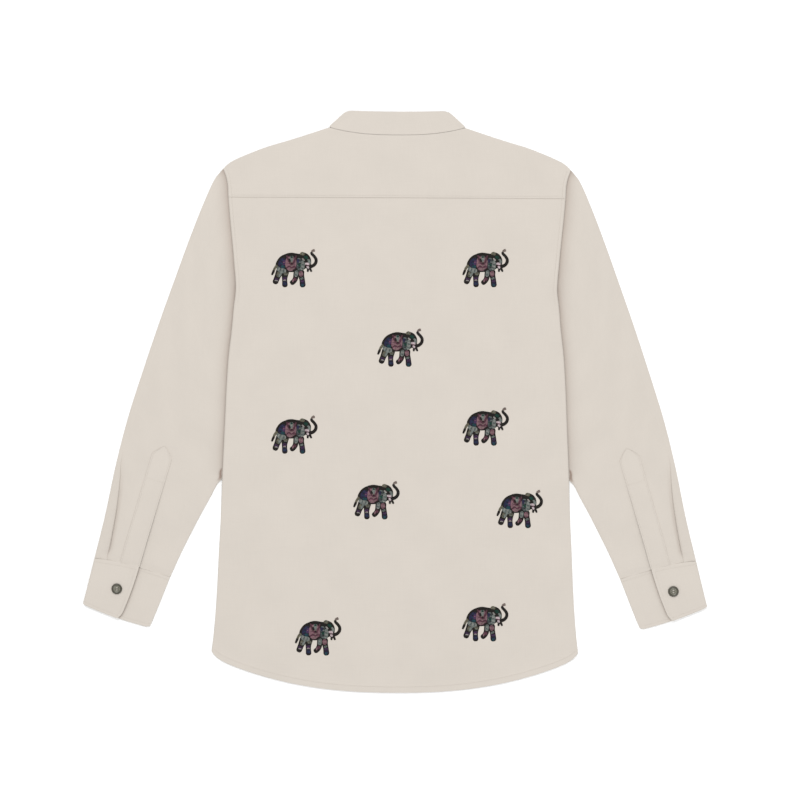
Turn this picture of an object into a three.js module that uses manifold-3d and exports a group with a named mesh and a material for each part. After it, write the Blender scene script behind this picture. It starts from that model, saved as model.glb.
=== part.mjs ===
// A long-sleeved kurta with a stand collar, laid flat with its back up and its sleeves
// swung down beside and partly under the body. Millimetres, +Z up, collar towards +Y.
// The origin is the middle of the plan box, on the surface that the kurta lies on.
//
// Every layer is a height field over the plan: the sleeves and the front lie on the
// surface, the front rises where it passes over the sleeves and the placket buttons,
// and the back lies on the front.

import * as THREE from 'three';
import Module from 'manifold-3d';

// ---- Cloth and clearances
const CLOTH = 1.05;             // one layer of the shirt cloth
const BAND_CLOTH = 1.1;         // the interlined collar band
const CUFF_CLOTH = 1.2;         // the interlined cuffs
const CLEAR = 0.3;              // between two pieces at a seam, or lying on each other

// ---- Body: half widths at heights along the side edge, from the hem corner to the shoulder point
const BODY_EDGE = [
  { y: -332, x: 242.5 },
  { y: -306, x: 239.6 },
  { y: -270, x: 236.8 },
  { y: -232, x: 234.8 },
  { y: -199, x: 233.4 },
  { y: -172, x: 232.0 },
  { y: -144, x: 230.8 },
  { y: -118, x: 229.8 },
  { y: -92, x: 229.0 },
  { y: -62, x: 227.8 },
  { y: -30, x: 226.4 },
  { y: 10, x: 224.8 },
  { y: 36, x: 223.4 },
  { y: 62, x: 221.6 },
  { y: 95, x: 217.8 },
  { y: 123, x: 215.4 },
  { y: 149, x: 212.7 },         // the foot of the armhole that shows
  { y: 185, x: 215.4 },
  { y: 220, x: 218.8 },
  { y: 245, x: 221.3 },
  { y: 269.6, x: 223.3 },       // the end of the yoke seam
  { y: 285, x: 224.2 },
  { y: 296, x: 226.3 },
  { y: 307, x: 230.0 },         // the shoulder point
];
const SIDE_CROSSING_ROW = 8;    // where the side passes over the sleeve's underarm edge
const ARMHOLE_FOOT_ROW = 16;
const YOKE_ROW = 20;
const BODY_COLUMNS = [0, 0.0766, 0.153, 0.23, 0.307, 0.3831, 0.47, 0.56, 0.65, 0.74, 0.83, 0.91, 0.965, 1];

// Top edge of the whole garment: collar top, collar side folds and shoulders
const TOP_EDGE = [
  { x: 0, y: 383.6 },
  { x: 63.6, y: 385.2 },
  { x: 88.1, y: 361.7 },
  { x: 124.8, y: 349.5 },
  { x: 166.4, y: 336.5 },
  { x: 203.8, y: 320.8 },
  { x: 221.0, y: 313.6 },
  { x: 230.0, y: 307.0 },
];
const HEM_Y = -385.5;           // the lowest point of the curved hem
const HEM_RISE = 44;            // how far the shirt-tail curve rises to the sides
const HEM_CURVE = 2.27;         // the power of that curve
const HEM_CORNER = 9.5;         // the extra rise of the rounded corner
const HEM_CORNER_CURVE = 40;

// ---- Neck
const NECK_HALF_WIDTH = 88.1;
const NECK_SIDE_Y = 361.7;
const NECK_BACK_Y = 352.5;
const NECK_BACK_CURVE = 2.6;    // how flat the back neckline is in its middle
const NECK_FRONT_DEPTH = 91.7;
const BAND_TOP_HALF_WIDTH = 63.6;
const BAND_TOP_SIDE_Y = 385.2;
const BAND_TOP_DIP = 1.6;       // the top edge is a little lower in the middle
const BAND_FRONT_DEPTH = 84.2;
const BAND_INNER_GAP = 0.4;     // between the two halves of the flattened band
const BAND_FOLD_RAISE = 1.6;    // keeps the folded corner clear of the yoke's corner
const BAND_END_ANGLE = 88.8;    // degrees round the front neckline, where each end stops

// ---- How the layers lie
const FILL_HEIGHT = 2.6;        // air left between back and front, away from the edges
const FILL_MARGIN = 60;         // the width over which it fades out at an edge
const BLEND_POWER = 3;          // how softly one lift passes into another

// ---- Sleeves: plan of the two long edges
const OVERARM_EDGE = [
  { y: -210, x: 398.4 },
  { y: -152, x: 384.3 },
  { y: -88, x: 371.0 },
  { y: -24.5, x: 355.1 },
  { y: 39, x: 335.2 },
  { y: 102.7, x: 314.0 },
  { y: 166.3, x: 291.5 },
  { y: 214, x: 274.3 },
  { y: 261.7, x: 255.7 },
  { y: 293.5, x: 241.2 },
  { y: 307, x: 230.3 },
];
const UNDERARM_EDGE = [
  { y: -234, x: 298.0 },
  { y: -199, x: 282.2 },
  { y: -152, x: 258.4 },
  { y: -120, x: 241.2 },
  { y: 94.7, x: 137.8 },
];
const UNDERARM_COLUMNS = 4;     // from the foot of the visible armhole to the underarm point
const SLEEVE_ROWS = 20;
const SLEEVE_EDGE_GAP = 0.35;   // inside height of the flattened sleeve at its edges
const SLEEVE_FULLNESS = 0.75;   // what the middle has more
const SLEEVE_FULL_AT = 45;      // distance from the edge to the full height
const EDGE_ROUND = 1.0;         // how far the folded edge rounds away in plan

// ---- Cuffs
const CUFF_SEAM_OUTER = [398.4, -210];
const CUFF_SEAM_INNER = [298.0, -234];
const CUFF_SEAM_BOW = 3.7;
const CUFF_HEM_OUTER = [413.2, -270.5];
const CUFF_HEM_INNER = [324.5, -301];
const CUFF_HEM_BOW = -2.2;
const CUFF_ROWS = 4;
const CUFF_OVERLAP_END = 0.572; // fraction of the width, from the outer edge
const CUFF_END_CURVE = 0.035;   // how far the rounded end draws back at the hem
const CUFF_UNDERLAP = 0.2;      // how far the underlap reaches beneath the overlap
const FOLD_STEPS = 4;           // facets round a half turn of cloth

// ---- Sleeve plackets
const TOWER_TIP = [308.0, -60.3];
const TOWER_FOOT = [354.2, -216.6];
const TOWER_HALF_WIDTH = 13.5;
const TOWER_POINT_LENGTH = 12;  // from the tip to the full width
const TOWER_TIP_HALF_WIDTH = 1.5;
const TOWER_ROWS = 9;

// ---- Pleats beside the overarm edge, running up from the cuff seam
const PLEAT_HEAD = [363.8, -84];
const PLEAT_FOOT = [381.0, -206.5];
const PLEAT_HEIGHT = 1.2;       // how far the fold stands up at the cuff
const PLEAT_SINK = 0.25;        // how deep its root is joined into the sleeve
const PLEAT_HEAD_SINK = 0.05;   // how far its head dips under the sleeve's surface
const PLEAT_FALL = 0.75;        // the share of its height lost towards the overarm edge
const PLEAT_EDGE_INSET = 3.2;   // what it keeps from the overarm edge
const PLEAT_ROWS = 8;
const PLEAT_COLUMNS = [0, 0.33, 0.67, 1];

// ---- Front placket
const SLIT_WIDTH = 1.0;
const FRONT_PLACKET_HALF_WIDTH = 15;
const FRONT_PLACKET_END_Y = -15;
const SLIT_END_Y = 5;
const CUTTER_BOTTOM = -10;      // the cutting block reaches past both faces of the front
const CUTTER_DEPTH = 30;
const CUTTER_CURVE_STEPS = 14;
const FRONT_BUTTON_HEIGHTS = [245, 160, 75];

// ---- Buttons
const BUTTON_RADIUS = 7;
const BUTTON_DEPTH = 2.0;
const BUTTON_SIDES = 20;
const CUFF_BUTTON = [368.0, -249.5];

// ---- Lifts that follow from the sizes above
const SLEEVE_HEIGHT = 2 * CLOTH + SLEEVE_EDGE_GAP + SLEEVE_FULLNESS;
const FLAP_LIFT = SLEEVE_HEIGHT + CLEAR + 0.1;
const FLAP_MARGIN = 10;
const FLAP_RAMP = 55;
const PLACKET_LIFT = BUTTON_DEPTH + CLEAR + CLOTH + CLEAR;
const PLACKET_RAMP = 68;
const PLACKET_SIDE_MARGIN = 1.5;
const PLACKET_END_MARGIN = 10;

const armholeFoot = BODY_EDGE[ARMHOLE_FOOT_ROW];
const yokeEnd = BODY_EDGE[YOKE_ROW];
const shoulderPoint = BODY_EDGE[BODY_EDGE.length - 1];
const hemCorner = BODY_EDGE[0];
const underarmPoint = UNDERARM_EDGE[UNDERARM_EDGE.length - 1];
const armholeRows = BODY_EDGE.slice(ARMHOLE_FOOT_ROW).reverse();

// ---------------------------------------------------------------- small helpers

const mix = THREE.MathUtils.lerp;

function mixPoints(a, b, share) {
  return [mix(a[0], b[0], share), mix(a[1], b[1], share)];
}

function fade(distance, width) {
  return THREE.MathUtils.smoothstep(distance, 0, width);
}

/** The softened larger of two heights. */
function blendHeights(a, b) {
  return (a ** BLEND_POWER + b ** BLEND_POWER) ** (1 / BLEND_POWER);
}

/** Reads a table as a smooth curve: cubic steps between rows, with each row's averaged slope. */
function readTable(rows, input, output) {
  const slopeAt = (i) => {
    const before = rows[Math.max(i - 1, 0)];
    const after = rows[Math.min(i + 1, rows.length - 1)];
    return (after[output] - before[output]) / (after[input] - before[input]);
  };
  return (value) => {
    let i = 0;
    while (i < rows.length - 2 && value > rows[i + 1][input]) i += 1;
    const span = rows[i + 1][input] - rows[i][input];
    const t = THREE.MathUtils.clamp((value - rows[i][input]) / span, 0, 1);
    const start = rows[i][output];
    const end = rows[i + 1][output];
    const bulge = (1 - t) * slopeAt(i) * span - t * slopeAt(i + 1) * span;
    const turn = start - end;
    return mix(start, end, t) + t * (1 - t) * (bulge + (1 - 2 * t) * turn);
  };
}

/** Reads a table as straight stretches between rows. */
function readStraight(rows, input, output) {
  return (value) => {
    let i = 0;
    while (i < rows.length - 2 && value > rows[i + 1][input]) i += 1;
    const span = rows[i + 1][input] - rows[i][input];
    const t = THREE.MathUtils.clamp((value - rows[i][input]) / span, 0, 1);
    return mix(rows[i][output], rows[i + 1][output], t);
  };
}

const sideX = readStraight(BODY_EDGE, 'y', 'x');
const topY = readStraight(TOP_EDGE, 'x', 'y');
const overarmX = readTable(OVERARM_EDGE, 'y', 'x');
const underarmX = readTable(UNDERARM_EDGE, 'y', 'x');

// ---------------------------------------------------------------- heights over the plan

function hemY(share) {
  const s = Math.abs(share);
  return HEM_Y + HEM_RISE * s ** HEM_CURVE + HEM_CORNER * s ** HEM_CORNER_CURVE;
}

function neckBackY(x) {
  const share = Math.min(Math.abs(x) / NECK_HALF_WIDTH, 1);
  return mix(NECK_BACK_Y, NECK_SIDE_Y, share ** NECK_BACK_CURVE);
}

/** Distance in plan from a point to a stretch between two points. */
function distanceToStretch(point, a, b) {
  const along = [b[0] - a[0], b[1] - a[1]];
  const reach = [point[0] - a[0], point[1] - a[1]];
  const share = (reach[0] * along[0] + reach[1] * along[1]) / (along[0] ** 2 + along[1] ** 2);
  const t = THREE.MathUtils.clamp(share, 0, 1);
  return Math.hypot(reach[0] - t * along[0], reach[1] - t * along[1]);
}

/** The corners of the sleeve's part that the body covers: armhole foot, underarm, side crossing. */
const FLAP = [armholeFoot, underarmPoint, BODY_EDGE[SIDE_CROSSING_ROW]].map(({ x, y }) => [x, y]);

/** Distance in plan from a point to the covered part, 0 inside it. */
function distanceToFlap(point) {
  const inside = FLAP.every((corner, i) => {
    const next = FLAP[(i + 1) % FLAP.length];
    const turn = (next[0] - corner[0]) * (point[1] - corner[1])
      - (next[1] - corner[1]) * (point[0] - corner[0]);
    return turn >= 0;
  });
  if (inside) return 0;
  return Math.min(...FLAP.map((corner, i) => (
    distanceToStretch(point, corner, FLAP[(i + 1) % FLAP.length])
  )));
}

/** Height of the front's lower face: it rises over the covered sleeves and over the placket. */
function frontHeight(x, y) {
  const overSleeve = FLAP_LIFT * (1 - fade(distanceToFlap([Math.abs(x), y]) - FLAP_MARGIN, FLAP_RAMP));
  const sideways = Math.abs(x) - FRONT_PLACKET_HALF_WIDTH - PLACKET_SIDE_MARGIN;
  const below = FRONT_PLACKET_END_Y - PLACKET_END_MARGIN - y;
  const above = y - (NECK_SIDE_Y - NECK_FRONT_DEPTH);
  const overPlacket = PLACKET_LIFT * (1 - fade(sideways, PLACKET_RAMP))
    * (1 - fade(below, PLACKET_RAMP)) * (1 - fade(above, PLACKET_RAMP));
  return blendHeights(overSleeve, overPlacket);
}

/** Height of the air between back and front: full in the middle, none at the outline. */
function airHeight(x, y) {
  const share = Math.abs(x) / sideX(y);
  const fromSide = sideX(y) - Math.abs(x);
  const fromHem = y - hemY(Math.min(share, 1));
  const fromTop = topY(Math.abs(x)) - y;
  return FILL_HEIGHT * fade(fromSide, FILL_MARGIN) * fade(fromHem, FILL_MARGIN)
    * fade(fromTop, FILL_MARGIN);
}

/** Height of the back's and the yoke's lower face. */
function backHeight(x, y) {
  return CLOTH + CLEAR + blendHeights(frontHeight(x, y), airHeight(x, y));
}

/** Plan position of the inner boundary of a sleeve: armhole above, underarm edge below. */
function sleeveInnerX(y) {
  if (y >= armholeFoot.y) return sideX(y) + CLEAR;
  if (y >= underarmPoint.y) {
    const share = (armholeFoot.y - y) / (armholeFoot.y - underarmPoint.y);
    return mix(armholeFoot.x, underarmPoint.x, share);
  }
  return underarmX(y);
}

/** Inside height of a flattened sleeve, for a point of the right-hand plan. */
function sleeveGap(x, y) {
  const fromEdge = Math.min(x - sleeveInnerX(y), overarmX(y) - x);
  return SLEEVE_EDGE_GAP + SLEEVE_FULLNESS * fade(fromEdge, SLEEVE_FULL_AT);
}

function sleeveTop(x, y) {
  return 2 * CLOTH + sleeveGap(x, y);
}

// ---------------------------------------------------------------- solids

/** Turns the faces of a closed geometry outwards, where they point inwards. */
function faceOutwards(positions, index) {
  const corner = (i) => new THREE.Vector3().fromArray(positions, 3 * index[i]);
  let volume = 0;
  for (let i = 0; i < index.length; i += 3) {
    volume += corner(i).dot(corner(i + 1).cross(corner(i + 2)));
  }
  return volume > 0 ? index : index.toReversed();
}

/**
 * A closed wall between two grids of points, one for each face of the cloth. The rim is
 * closed all round; a wall that wraps has its last column joined to its first.
 */
function closedWall(outer, inner, wraps = false) {
  const rows = outer.length;
  const columns = outer[0].length;
  const positions = [...outer, ...inner].flat(2);
  const at = (face, i, j) => (face * rows + i) * columns + (j % columns);
  const index = [];
  const quad = (a, b, c, d) => index.push(a, b, c, a, c, d);
  const lastColumn = wraps ? columns : columns - 1;
  for (let i = 0; i < rows - 1; i += 1) {
    for (let j = 0; j < lastColumn; j += 1) {
      quad(at(0, i, j), at(0, i, j + 1), at(0, i + 1, j + 1), at(0, i + 1, j));
      quad(at(1, i, j), at(1, i + 1, j), at(1, i + 1, j + 1), at(1, i, j + 1));
    }
  }
  const end = rows - 1;
  for (let j = 0; j < lastColumn; j += 1) {
    quad(at(0, 0, j), at(1, 0, j), at(1, 0, j + 1), at(0, 0, j + 1));
    quad(at(0, end, j), at(0, end, j + 1), at(1, end, j + 1), at(1, end, j));
  }
  if (!wraps) {
    const side = columns - 1;
    for (let i = 0; i < rows - 1; i += 1) {
      quad(at(0, i, 0), at(0, i + 1, 0), at(1, i + 1, 0), at(1, i, 0));
      quad(at(0, i, side), at(1, i, side), at(1, i + 1, side), at(0, i + 1, side));
    }
  }
  const geometry = new THREE.BufferGeometry();
  geometry.setAttribute('position', new THREE.Float32BufferAttribute(positions, 3));
  geometry.setIndex(faceOutwards(positions, index));
  return geometry;
}

/** A wall over a grid of plan points, standing between a lower height and that plus a thickness. */
function layer(plan, lowerHeight, thickness) {
  const raise = (extra) => plan.map((row) => row.map(([x, y]) => [x, y, lowerHeight(x, y) + extra]));
  return closedWall(raise(thickness), raise(0));
}

/** A wall half its thickness to each side of a grid of middle points, along the grid's normals. */
function thicken(middle, thickness) {
  const rows = middle.length;
  const columns = middle[0].length;
  const vector = (i, j) => new THREE.Vector3(...middle[i][j]);
  const normal = (i, j) => {
    const across = vector(i, Math.min(j + 1, columns - 1)).sub(vector(i, Math.max(j - 1, 0)));
    const along = vector(Math.min(i + 1, rows - 1), j).sub(vector(Math.max(i - 1, 0), j));
    return across.cross(along).normalize();
  };
  const offset = (distance) => middle.map((row, i) => row.map((point, j) => (
    vector(i, j).addScaledVector(normal(i, j), distance).toArray()
  )));
  return closedWall(offset(thickness / 2), offset(-thickness / 2));
}

/** Plan points filled in between four edges, each blended from the edge opposite it. */
function fillBetween(near, far, left, right, across) {
  const lastRow = left.length - 1;
  return left.map((leftPoint, i) => {
    const along = i / lastRow;
    return near.map((nearPoint, j) => {
      const share = across[j];
      return [0, 1].map((axis) => (
        mix(nearPoint[axis], far[j][axis], along) + mix(leftPoint[axis], right[i][axis], share)
        - mix(mix(near[0][axis], near[near.length - 1][axis], share),
          mix(far[0][axis], far[far.length - 1][axis], share), along)
      ));
    });
  });
}

function mirrored(grid) {
  return grid.map((row) => row.map(([x, ...rest]) => [-x, ...rest]));
}

const wasm = await Module();
wasm.setup();

function toSolid(geometry) {
  return new wasm.Manifold(new wasm.Mesh({
    numProp: 3,
    vertProperties: new Float32Array(geometry.attributes.position.array),
    triVerts: new Uint32Array(geometry.index.array),
  }));
}

function toGeometry(solid) {
  const mesh = solid.getMesh();
  const geometry = new THREE.BufferGeometry();
  geometry.setAttribute('position', new THREE.BufferAttribute(mesh.vertProperties, 3));
  geometry.setIndex(new THREE.BufferAttribute(mesh.triVerts, 1));
  return geometry;
}

/** The plain indexed form of a three.js geometry, with its shared corners made one. */
function welded(geometry) {
  const source = geometry.attributes.position;
  const order = geometry.index ? [...geometry.index.array] : [...Array(source.count).keys()];
  const places = new Map();
  const positions = [];
  const index = order.map((i) => {
    const place = [source.getX(i), source.getY(i), source.getZ(i)];
    const key = place.map((value) => value.toFixed(4)).join();
    if (!places.has(key)) {
      places.set(key, places.size);
      positions.push(...place);
    }
    return places.get(key);
  });
  const kept = [];
  for (let i = 0; i < index.length; i += 3) {
    const [a, b, c] = index.slice(i, i + 3);
    if (a !== b && b !== c && c !== a) kept.push(a, b, c);
  }
  const result = new THREE.BufferGeometry();
  result.setAttribute('position', new THREE.Float32BufferAttribute(positions, 3));
  result.setIndex(kept);
  return result;
}

// ---------------------------------------------------------------- body panels

const columnShares = [...BODY_COLUMNS.slice(1).map((share) => -share).reverse(), ...BODY_COLUMNS];

/** Plan points of the body between two rows of its side table. */
function bodyPlan(firstRow, lastRow) {
  return BODY_EDGE.slice(firstRow, lastRow + 1).map((edge) => columnShares.map((share) => {
    const x = share * edge.x;
    if (edge.y <= yokeEnd.y) {
      const up = (edge.y - hemCorner.y) / (yokeEnd.y - hemCorner.y);
      return [x, mix(hemY(share), yokeEnd.y, up)];
    }
    const up = (edge.y - yokeEnd.y) / (shoulderPoint.y - yokeEnd.y);
    const topX = Math.abs(share * shoulderPoint.x);
    const top = topX < NECK_HALF_WIDTH ? neckBackY(topX) : topY(topX);
    return [x, mix(yokeEnd.y, top, up)];
  }));
}

function shiftRow(plan, row, distance) {
  return plan.map((points, i) => (
    i === row ? points.map(([x, y]) => [x, y + distance]) : points
  ));
}

function makeBack() {
  const plan = shiftRow(bodyPlan(0, YOKE_ROW), YOKE_ROW, -CLEAR / 2);
  return layer(plan, backHeight, CLOTH);
}

function makeYoke() {
  const plan = shiftRow(bodyPlan(YOKE_ROW, BODY_EDGE.length - 1), 0, CLEAR / 2);
  return layer(plan, backHeight, CLOTH);
}

/** A point of the front neckline, a half ellipse, and of the lines above it up to the band's top. */
function frontNeckPoint(angle, up) {
  const halfWidth = mix(NECK_HALF_WIDTH, BAND_TOP_HALF_WIDTH, up);
  const depth = mix(NECK_FRONT_DEPTH, BAND_FRONT_DEPTH, up);
  const sideY = mix(NECK_SIDE_Y, BAND_TOP_SIDE_Y, up);
  return [halfWidth * Math.cos(angle), sideY - depth * Math.sin(angle)];
}

/** What is cut from the front: the neck opening and the placket slit below it. */
function makeNeckCutter() {
  const neck = new THREE.Shape();
  const halfWidth = NECK_HALF_WIDTH + CLEAR;
  const depth = NECK_FRONT_DEPTH + CLEAR;
  const slitAngle = Math.acos(SLIT_WIDTH / 2 / halfWidth);
  neck.moveTo(-halfWidth, BAND_TOP_SIDE_Y);
  neck.lineTo(-halfWidth, NECK_SIDE_Y);
  neck.absellipse(0, NECK_SIDE_Y, halfWidth, depth, Math.PI, Math.PI + slitAngle, false, 0);
  neck.lineTo(-SLIT_WIDTH / 2, SLIT_END_Y);
  neck.lineTo(SLIT_WIDTH / 2, SLIT_END_Y);
  neck.absellipse(0, NECK_SIDE_Y, halfWidth, depth, -slitAngle, 0, false, 0);
  neck.lineTo(halfWidth, BAND_TOP_SIDE_Y);
  const cutter = new THREE.ExtrudeGeometry(neck, {
    depth: CUTTER_DEPTH,
    bevelEnabled: false,
    curveSegments: CUTTER_CURVE_STEPS,
  });
  cutter.translate(0, 0, CUTTER_BOTTOM);
  return welded(cutter);
}

function makeFront() {
  const sheet = toSolid(layer(bodyPlan(0, BODY_EDGE.length - 1), frontHeight, CLOTH));
  return toGeometry(sheet.subtract(toSolid(makeNeckCutter())));
}

/** The placket lies on the outer face of the front, which faces down. */
function makeFrontPlacket() {
  const top = NECK_SIDE_Y - NECK_FRONT_DEPTH - CLEAR;
  const heights = [0, 0.2, 0.4, 0.6, 0.8, 1].map((up) => mix(FRONT_PLACKET_END_Y, top, up));
  const plan = heights.map((y) => (
    [-1, -0.5, 0, 0.5, 1].map((share) => [share * FRONT_PLACKET_HALF_WIDTH, y])
  ));
  return layer(plan, (x, y) => frontHeight(x, y) - CLEAR - CLOTH, CLOTH);
}

// ---------------------------------------------------------------- collar band

/**
 * The band as one strip: from centre front round one side of the front neckline, folded
 * over at the side, along the back neckline, folded at the other side and back to centre front.
 */
function makeCollarBand() {
  const frontAngles = [BAND_END_ANGLE, 76, 62, 48, 34, 20, 8].map(THREE.MathUtils.degToRad);
  const backShares = [0.94, 0.8, 0.6, 0.4, 0.2];
  const lowerMiddle = BAND_CLOTH / 2;
  const upperMiddle = BAND_CLOTH * 1.5 + BAND_INNER_GAP;
  const radius = (upperMiddle - lowerMiddle) / 2;
  const foldX = BAND_TOP_HALF_WIDTH - NECK_HALF_WIDTH;
  const foldY = BAND_TOP_SIDE_Y - NECK_SIDE_Y;
  const foldLength = Math.hypot(foldX, foldY);
  const outward = [foldY / foldLength, -foldX / foldLength];

  const halfRow = (up) => {
    const front = frontAngles.map((angle) => {
      const [x, y] = frontNeckPoint(angle, up);
      return [x, y, frontHeight(x, y) + lowerMiddle];
    });
    const foldFoot = [NECK_HALF_WIDTH, NECK_SIDE_Y + BAND_FOLD_RAISE];
    const foldLine = mixPoints(foldFoot, [BAND_TOP_HALF_WIDTH, BAND_TOP_SIDE_Y], up);
    const reach = radius + BAND_CLOTH / 2;
    const fold = Array.from({ length: FOLD_STEPS + 1 }, (_, k) => {
      const turn = -Math.PI / 2 + (k / FOLD_STEPS) * Math.PI;
      const out = radius * Math.cos(turn) - reach;
      const height = lowerMiddle + radius + radius * Math.sin(turn);
      return [foldLine[0] + outward[0] * out, foldLine[1] + outward[1] * out, height];
    });
    const back = backShares.map((share) => backPoint(share, up));
    return [...front, ...fold, ...back];
  };
  const backPoint = (share, up) => {
    const seamY = neckBackY(share * NECK_HALF_WIDTH) + CLEAR;
    const topEdgeY = BAND_TOP_SIDE_Y - BAND_TOP_DIP * (1 - share ** 2);
    const x = share * mix(NECK_HALF_WIDTH, BAND_TOP_HALF_WIDTH, up);
    const y = mix(seamY, topEdgeY, up);
    return [x, y, upperMiddle + airHeight(x, y)];
  };
  const middle = [0, 1 / 3, 2 / 3, 1].map((up) => {
    const half = halfRow(up);
    const otherHalf = mirrored([half])[0].reverse();
    return [...half, backPoint(0, up), ...otherHalf];
  });
  return thicken(middle, BAND_CLOTH);
}

// ---------------------------------------------------------------- sleeves

/** Plan of a right-hand sleeve: rows from the armhole to the cuff, columns overarm to underarm. */
function sleevePlan() {
  const underarm = Array.from({ length: UNDERARM_COLUMNS }, (_, k) => mixPoints(
    [armholeFoot.x + CLEAR, armholeFoot.y],
    [underarmPoint.x, underarmPoint.y],
    (k + 1) / UNDERARM_COLUMNS,
  ));
  const armhole = [...armholeRows.map(({ x, y }) => [x + CLEAR, y]), ...underarm];
  const lengths = [0];
  armhole.slice(1).forEach((point, i) => {
    const step = Math.hypot(point[0] - armhole[i][0], point[1] - armhole[i][1]);
    lengths.push(lengths[i] + step);
  });
  const across = lengths.map((length) => length / lengths[lengths.length - 1]);
  const stations = Array.from({ length: SLEEVE_ROWS + 1 }, (_, i) => i / SLEEVE_ROWS);
  const seam = across.map((share) => cuffPoint(share, 0));
  const seamShifted = seam.map(([x, y]) => [x, y + CLEAR / 2]);
  const overarm = stations.map((t) => {
    const y = mix(shoulderPoint.y, seamShifted[0][1], t);
    return [overarmX(y), y];
  });
  const inner = stations.map((t) => {
    const y = mix(underarmPoint.y, seamShifted[seamShifted.length - 1][1], t);
    return [underarmX(y), y];
  });
  overarm[overarm.length - 1] = seamShifted[0];
  inner[inner.length - 1] = seamShifted[seamShifted.length - 1];
  return fillBetween(armhole, seamShifted, overarm, inner, across);
}

/** Moves the two end points of a row inwards along the row. */
function insetEnds(row, distance) {
  const moved = (end, next) => {
    const length = Math.hypot(next[0] - end[0], next[1] - end[1]);
    return mixPoints(end, next, distance / length);
  };
  const last = row.length - 1;
  return row.map((point, j) => {
    if (j === 0) return moved(point, row[1]);
    if (j === last) return moved(point, row[last - 1]);
    return point;
  });
}

/** One closed ring round a flattened sleeve: along the lower layer and back along the upper one. */
function sleeveRing(row, edgeInset, roundInset, lowerHeight, upperHeight) {
  const layerPoints = insetEnds(row, roundInset);
  const edgePoints = insetEnds(row, edgeInset);
  const last = row.length - 1;
  const edge = ([x, y]) => [x, y, CLOTH + sleeveGap(x, y) / 2];
  const lower = layerPoints.map(([x, y]) => [x, y, lowerHeight(x, y)]);
  const upper = layerPoints.map(([x, y]) => [x, y, upperHeight(x, y)]).reverse();
  return [...lower, edge(edgePoints[last]), ...upper, edge(edgePoints[0])];
}

/** The folded-over cloth of the pleat, a thin wedge that dies out towards the elbow. */
function makePleat(side) {
  const plan = [];
  for (let i = 0; i <= PLEAT_ROWS; i += 1) {
    const foldEdge = mixPoints(PLEAT_HEAD, PLEAT_FOOT, i / PLEAT_ROWS);
    const outerX = overarmX(foldEdge[1]) - PLEAT_EDGE_INSET;
    plan.push(PLEAT_COLUMNS.map((share) => [mix(foldEdge[0], outerX, share), foldEdge[1]]));
  }
  const lower = plan.map((row) => row.map(([x, y]) => [x, y, sleeveTop(x, y) - PLEAT_SINK]));
  const upper = plan.map((row, i) => row.map(([x, y], j) => {
    const height = PLEAT_HEIGHT * fade(i / PLEAT_ROWS, 1) * (1 - PLEAT_FALL * PLEAT_COLUMNS[j]);
    return [x, y, sleeveTop(x, y) + height - PLEAT_HEAD_SINK];
  }));
  const placed = (grid) => (side > 0 ? grid : mirrored(grid));
  return closedWall(placed(upper), placed(lower));
}

function makeSleeve(side) {
  const plan = sleevePlan();
  const outer = plan.map((row) => sleeveRing(row, 0, EDGE_ROUND, () => 0, sleeveTop));
  const inner = plan.map((row) => sleeveRing(
    row,
    CLOTH * 1.15,
    CLOTH + EDGE_ROUND,
    () => CLOTH,
    (x, y) => CLOTH + sleeveGap(x, y),
  ));
  const placed = (grid) => (side > 0 ? grid : mirrored(grid));
  const tube = closedWall(placed(outer), placed(inner), true);
  return toGeometry(toSolid(tube).add(toSolid(makePleat(side))));
}

/** A pointed placket, from its tip down to the cuff seam, lying on the sleeve. */
function makeSleevePlacket(side) {
  const along = [TOWER_FOOT[0] - TOWER_TIP[0], TOWER_FOOT[1] - TOWER_TIP[1]];
  const length = Math.hypot(...along);
  const unit = [along[0] / length, along[1] / length];
  const stations = Array.from({ length: TOWER_ROWS }, (_, i) => (
    mix(TOWER_POINT_LENGTH, length, i / (TOWER_ROWS - 1))
  ));
  const plan = [0, ...stations].map((distance, i) => {
    const halfWidth = i === 0 ? TOWER_TIP_HALF_WIDTH : TOWER_HALF_WIDTH;
    return [-1, -0.33, 0.33, 1].map((share) => {
      const x = TOWER_TIP[0] + unit[0] * distance - unit[1] * share * halfWidth;
      const y = TOWER_TIP[1] + unit[1] * distance + unit[0] * share * halfWidth;
      return i === TOWER_ROWS ? [x, cuffSeamY(x) + CLEAR / 2] : [x, y];
    });
  });
  const height = (x, y) => sleeveTop(Math.abs(x), y) + CLEAR;
  return layer(side > 0 ? plan : mirrored(plan), height, CLOTH);
}

// ---------------------------------------------------------------- cuffs

/** Plan point of a right-hand cuff: share across from the outer edge, down from seam to hem. */
function cuffPoint(share, down) {
  const seam = mixPoints(CUFF_SEAM_OUTER, CUFF_SEAM_INNER, share);
  const hem = mixPoints(CUFF_HEM_OUTER, CUFF_HEM_INNER, share);
  const bow = Math.sin(Math.PI * share);
  seam[1] += CUFF_SEAM_BOW * bow;
  hem[1] += CUFF_HEM_BOW * bow;
  return mixPoints(seam, hem, down);
}

function cuffSeamY(x) {
  const share = (CUFF_SEAM_OUTER[0] - x) / (CUFF_SEAM_OUTER[0] - CUFF_SEAM_INNER[0]);
  return cuffPoint(share, 0)[1];
}

const CUFF_LEVELS = {
  lower: CUFF_CLOTH / 2,
  underlap: CUFF_CLOTH * 1.5 + CLEAR,
  overlap: CUFF_CLOTH * 2.5 + 2 * CLEAR,
};

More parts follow.
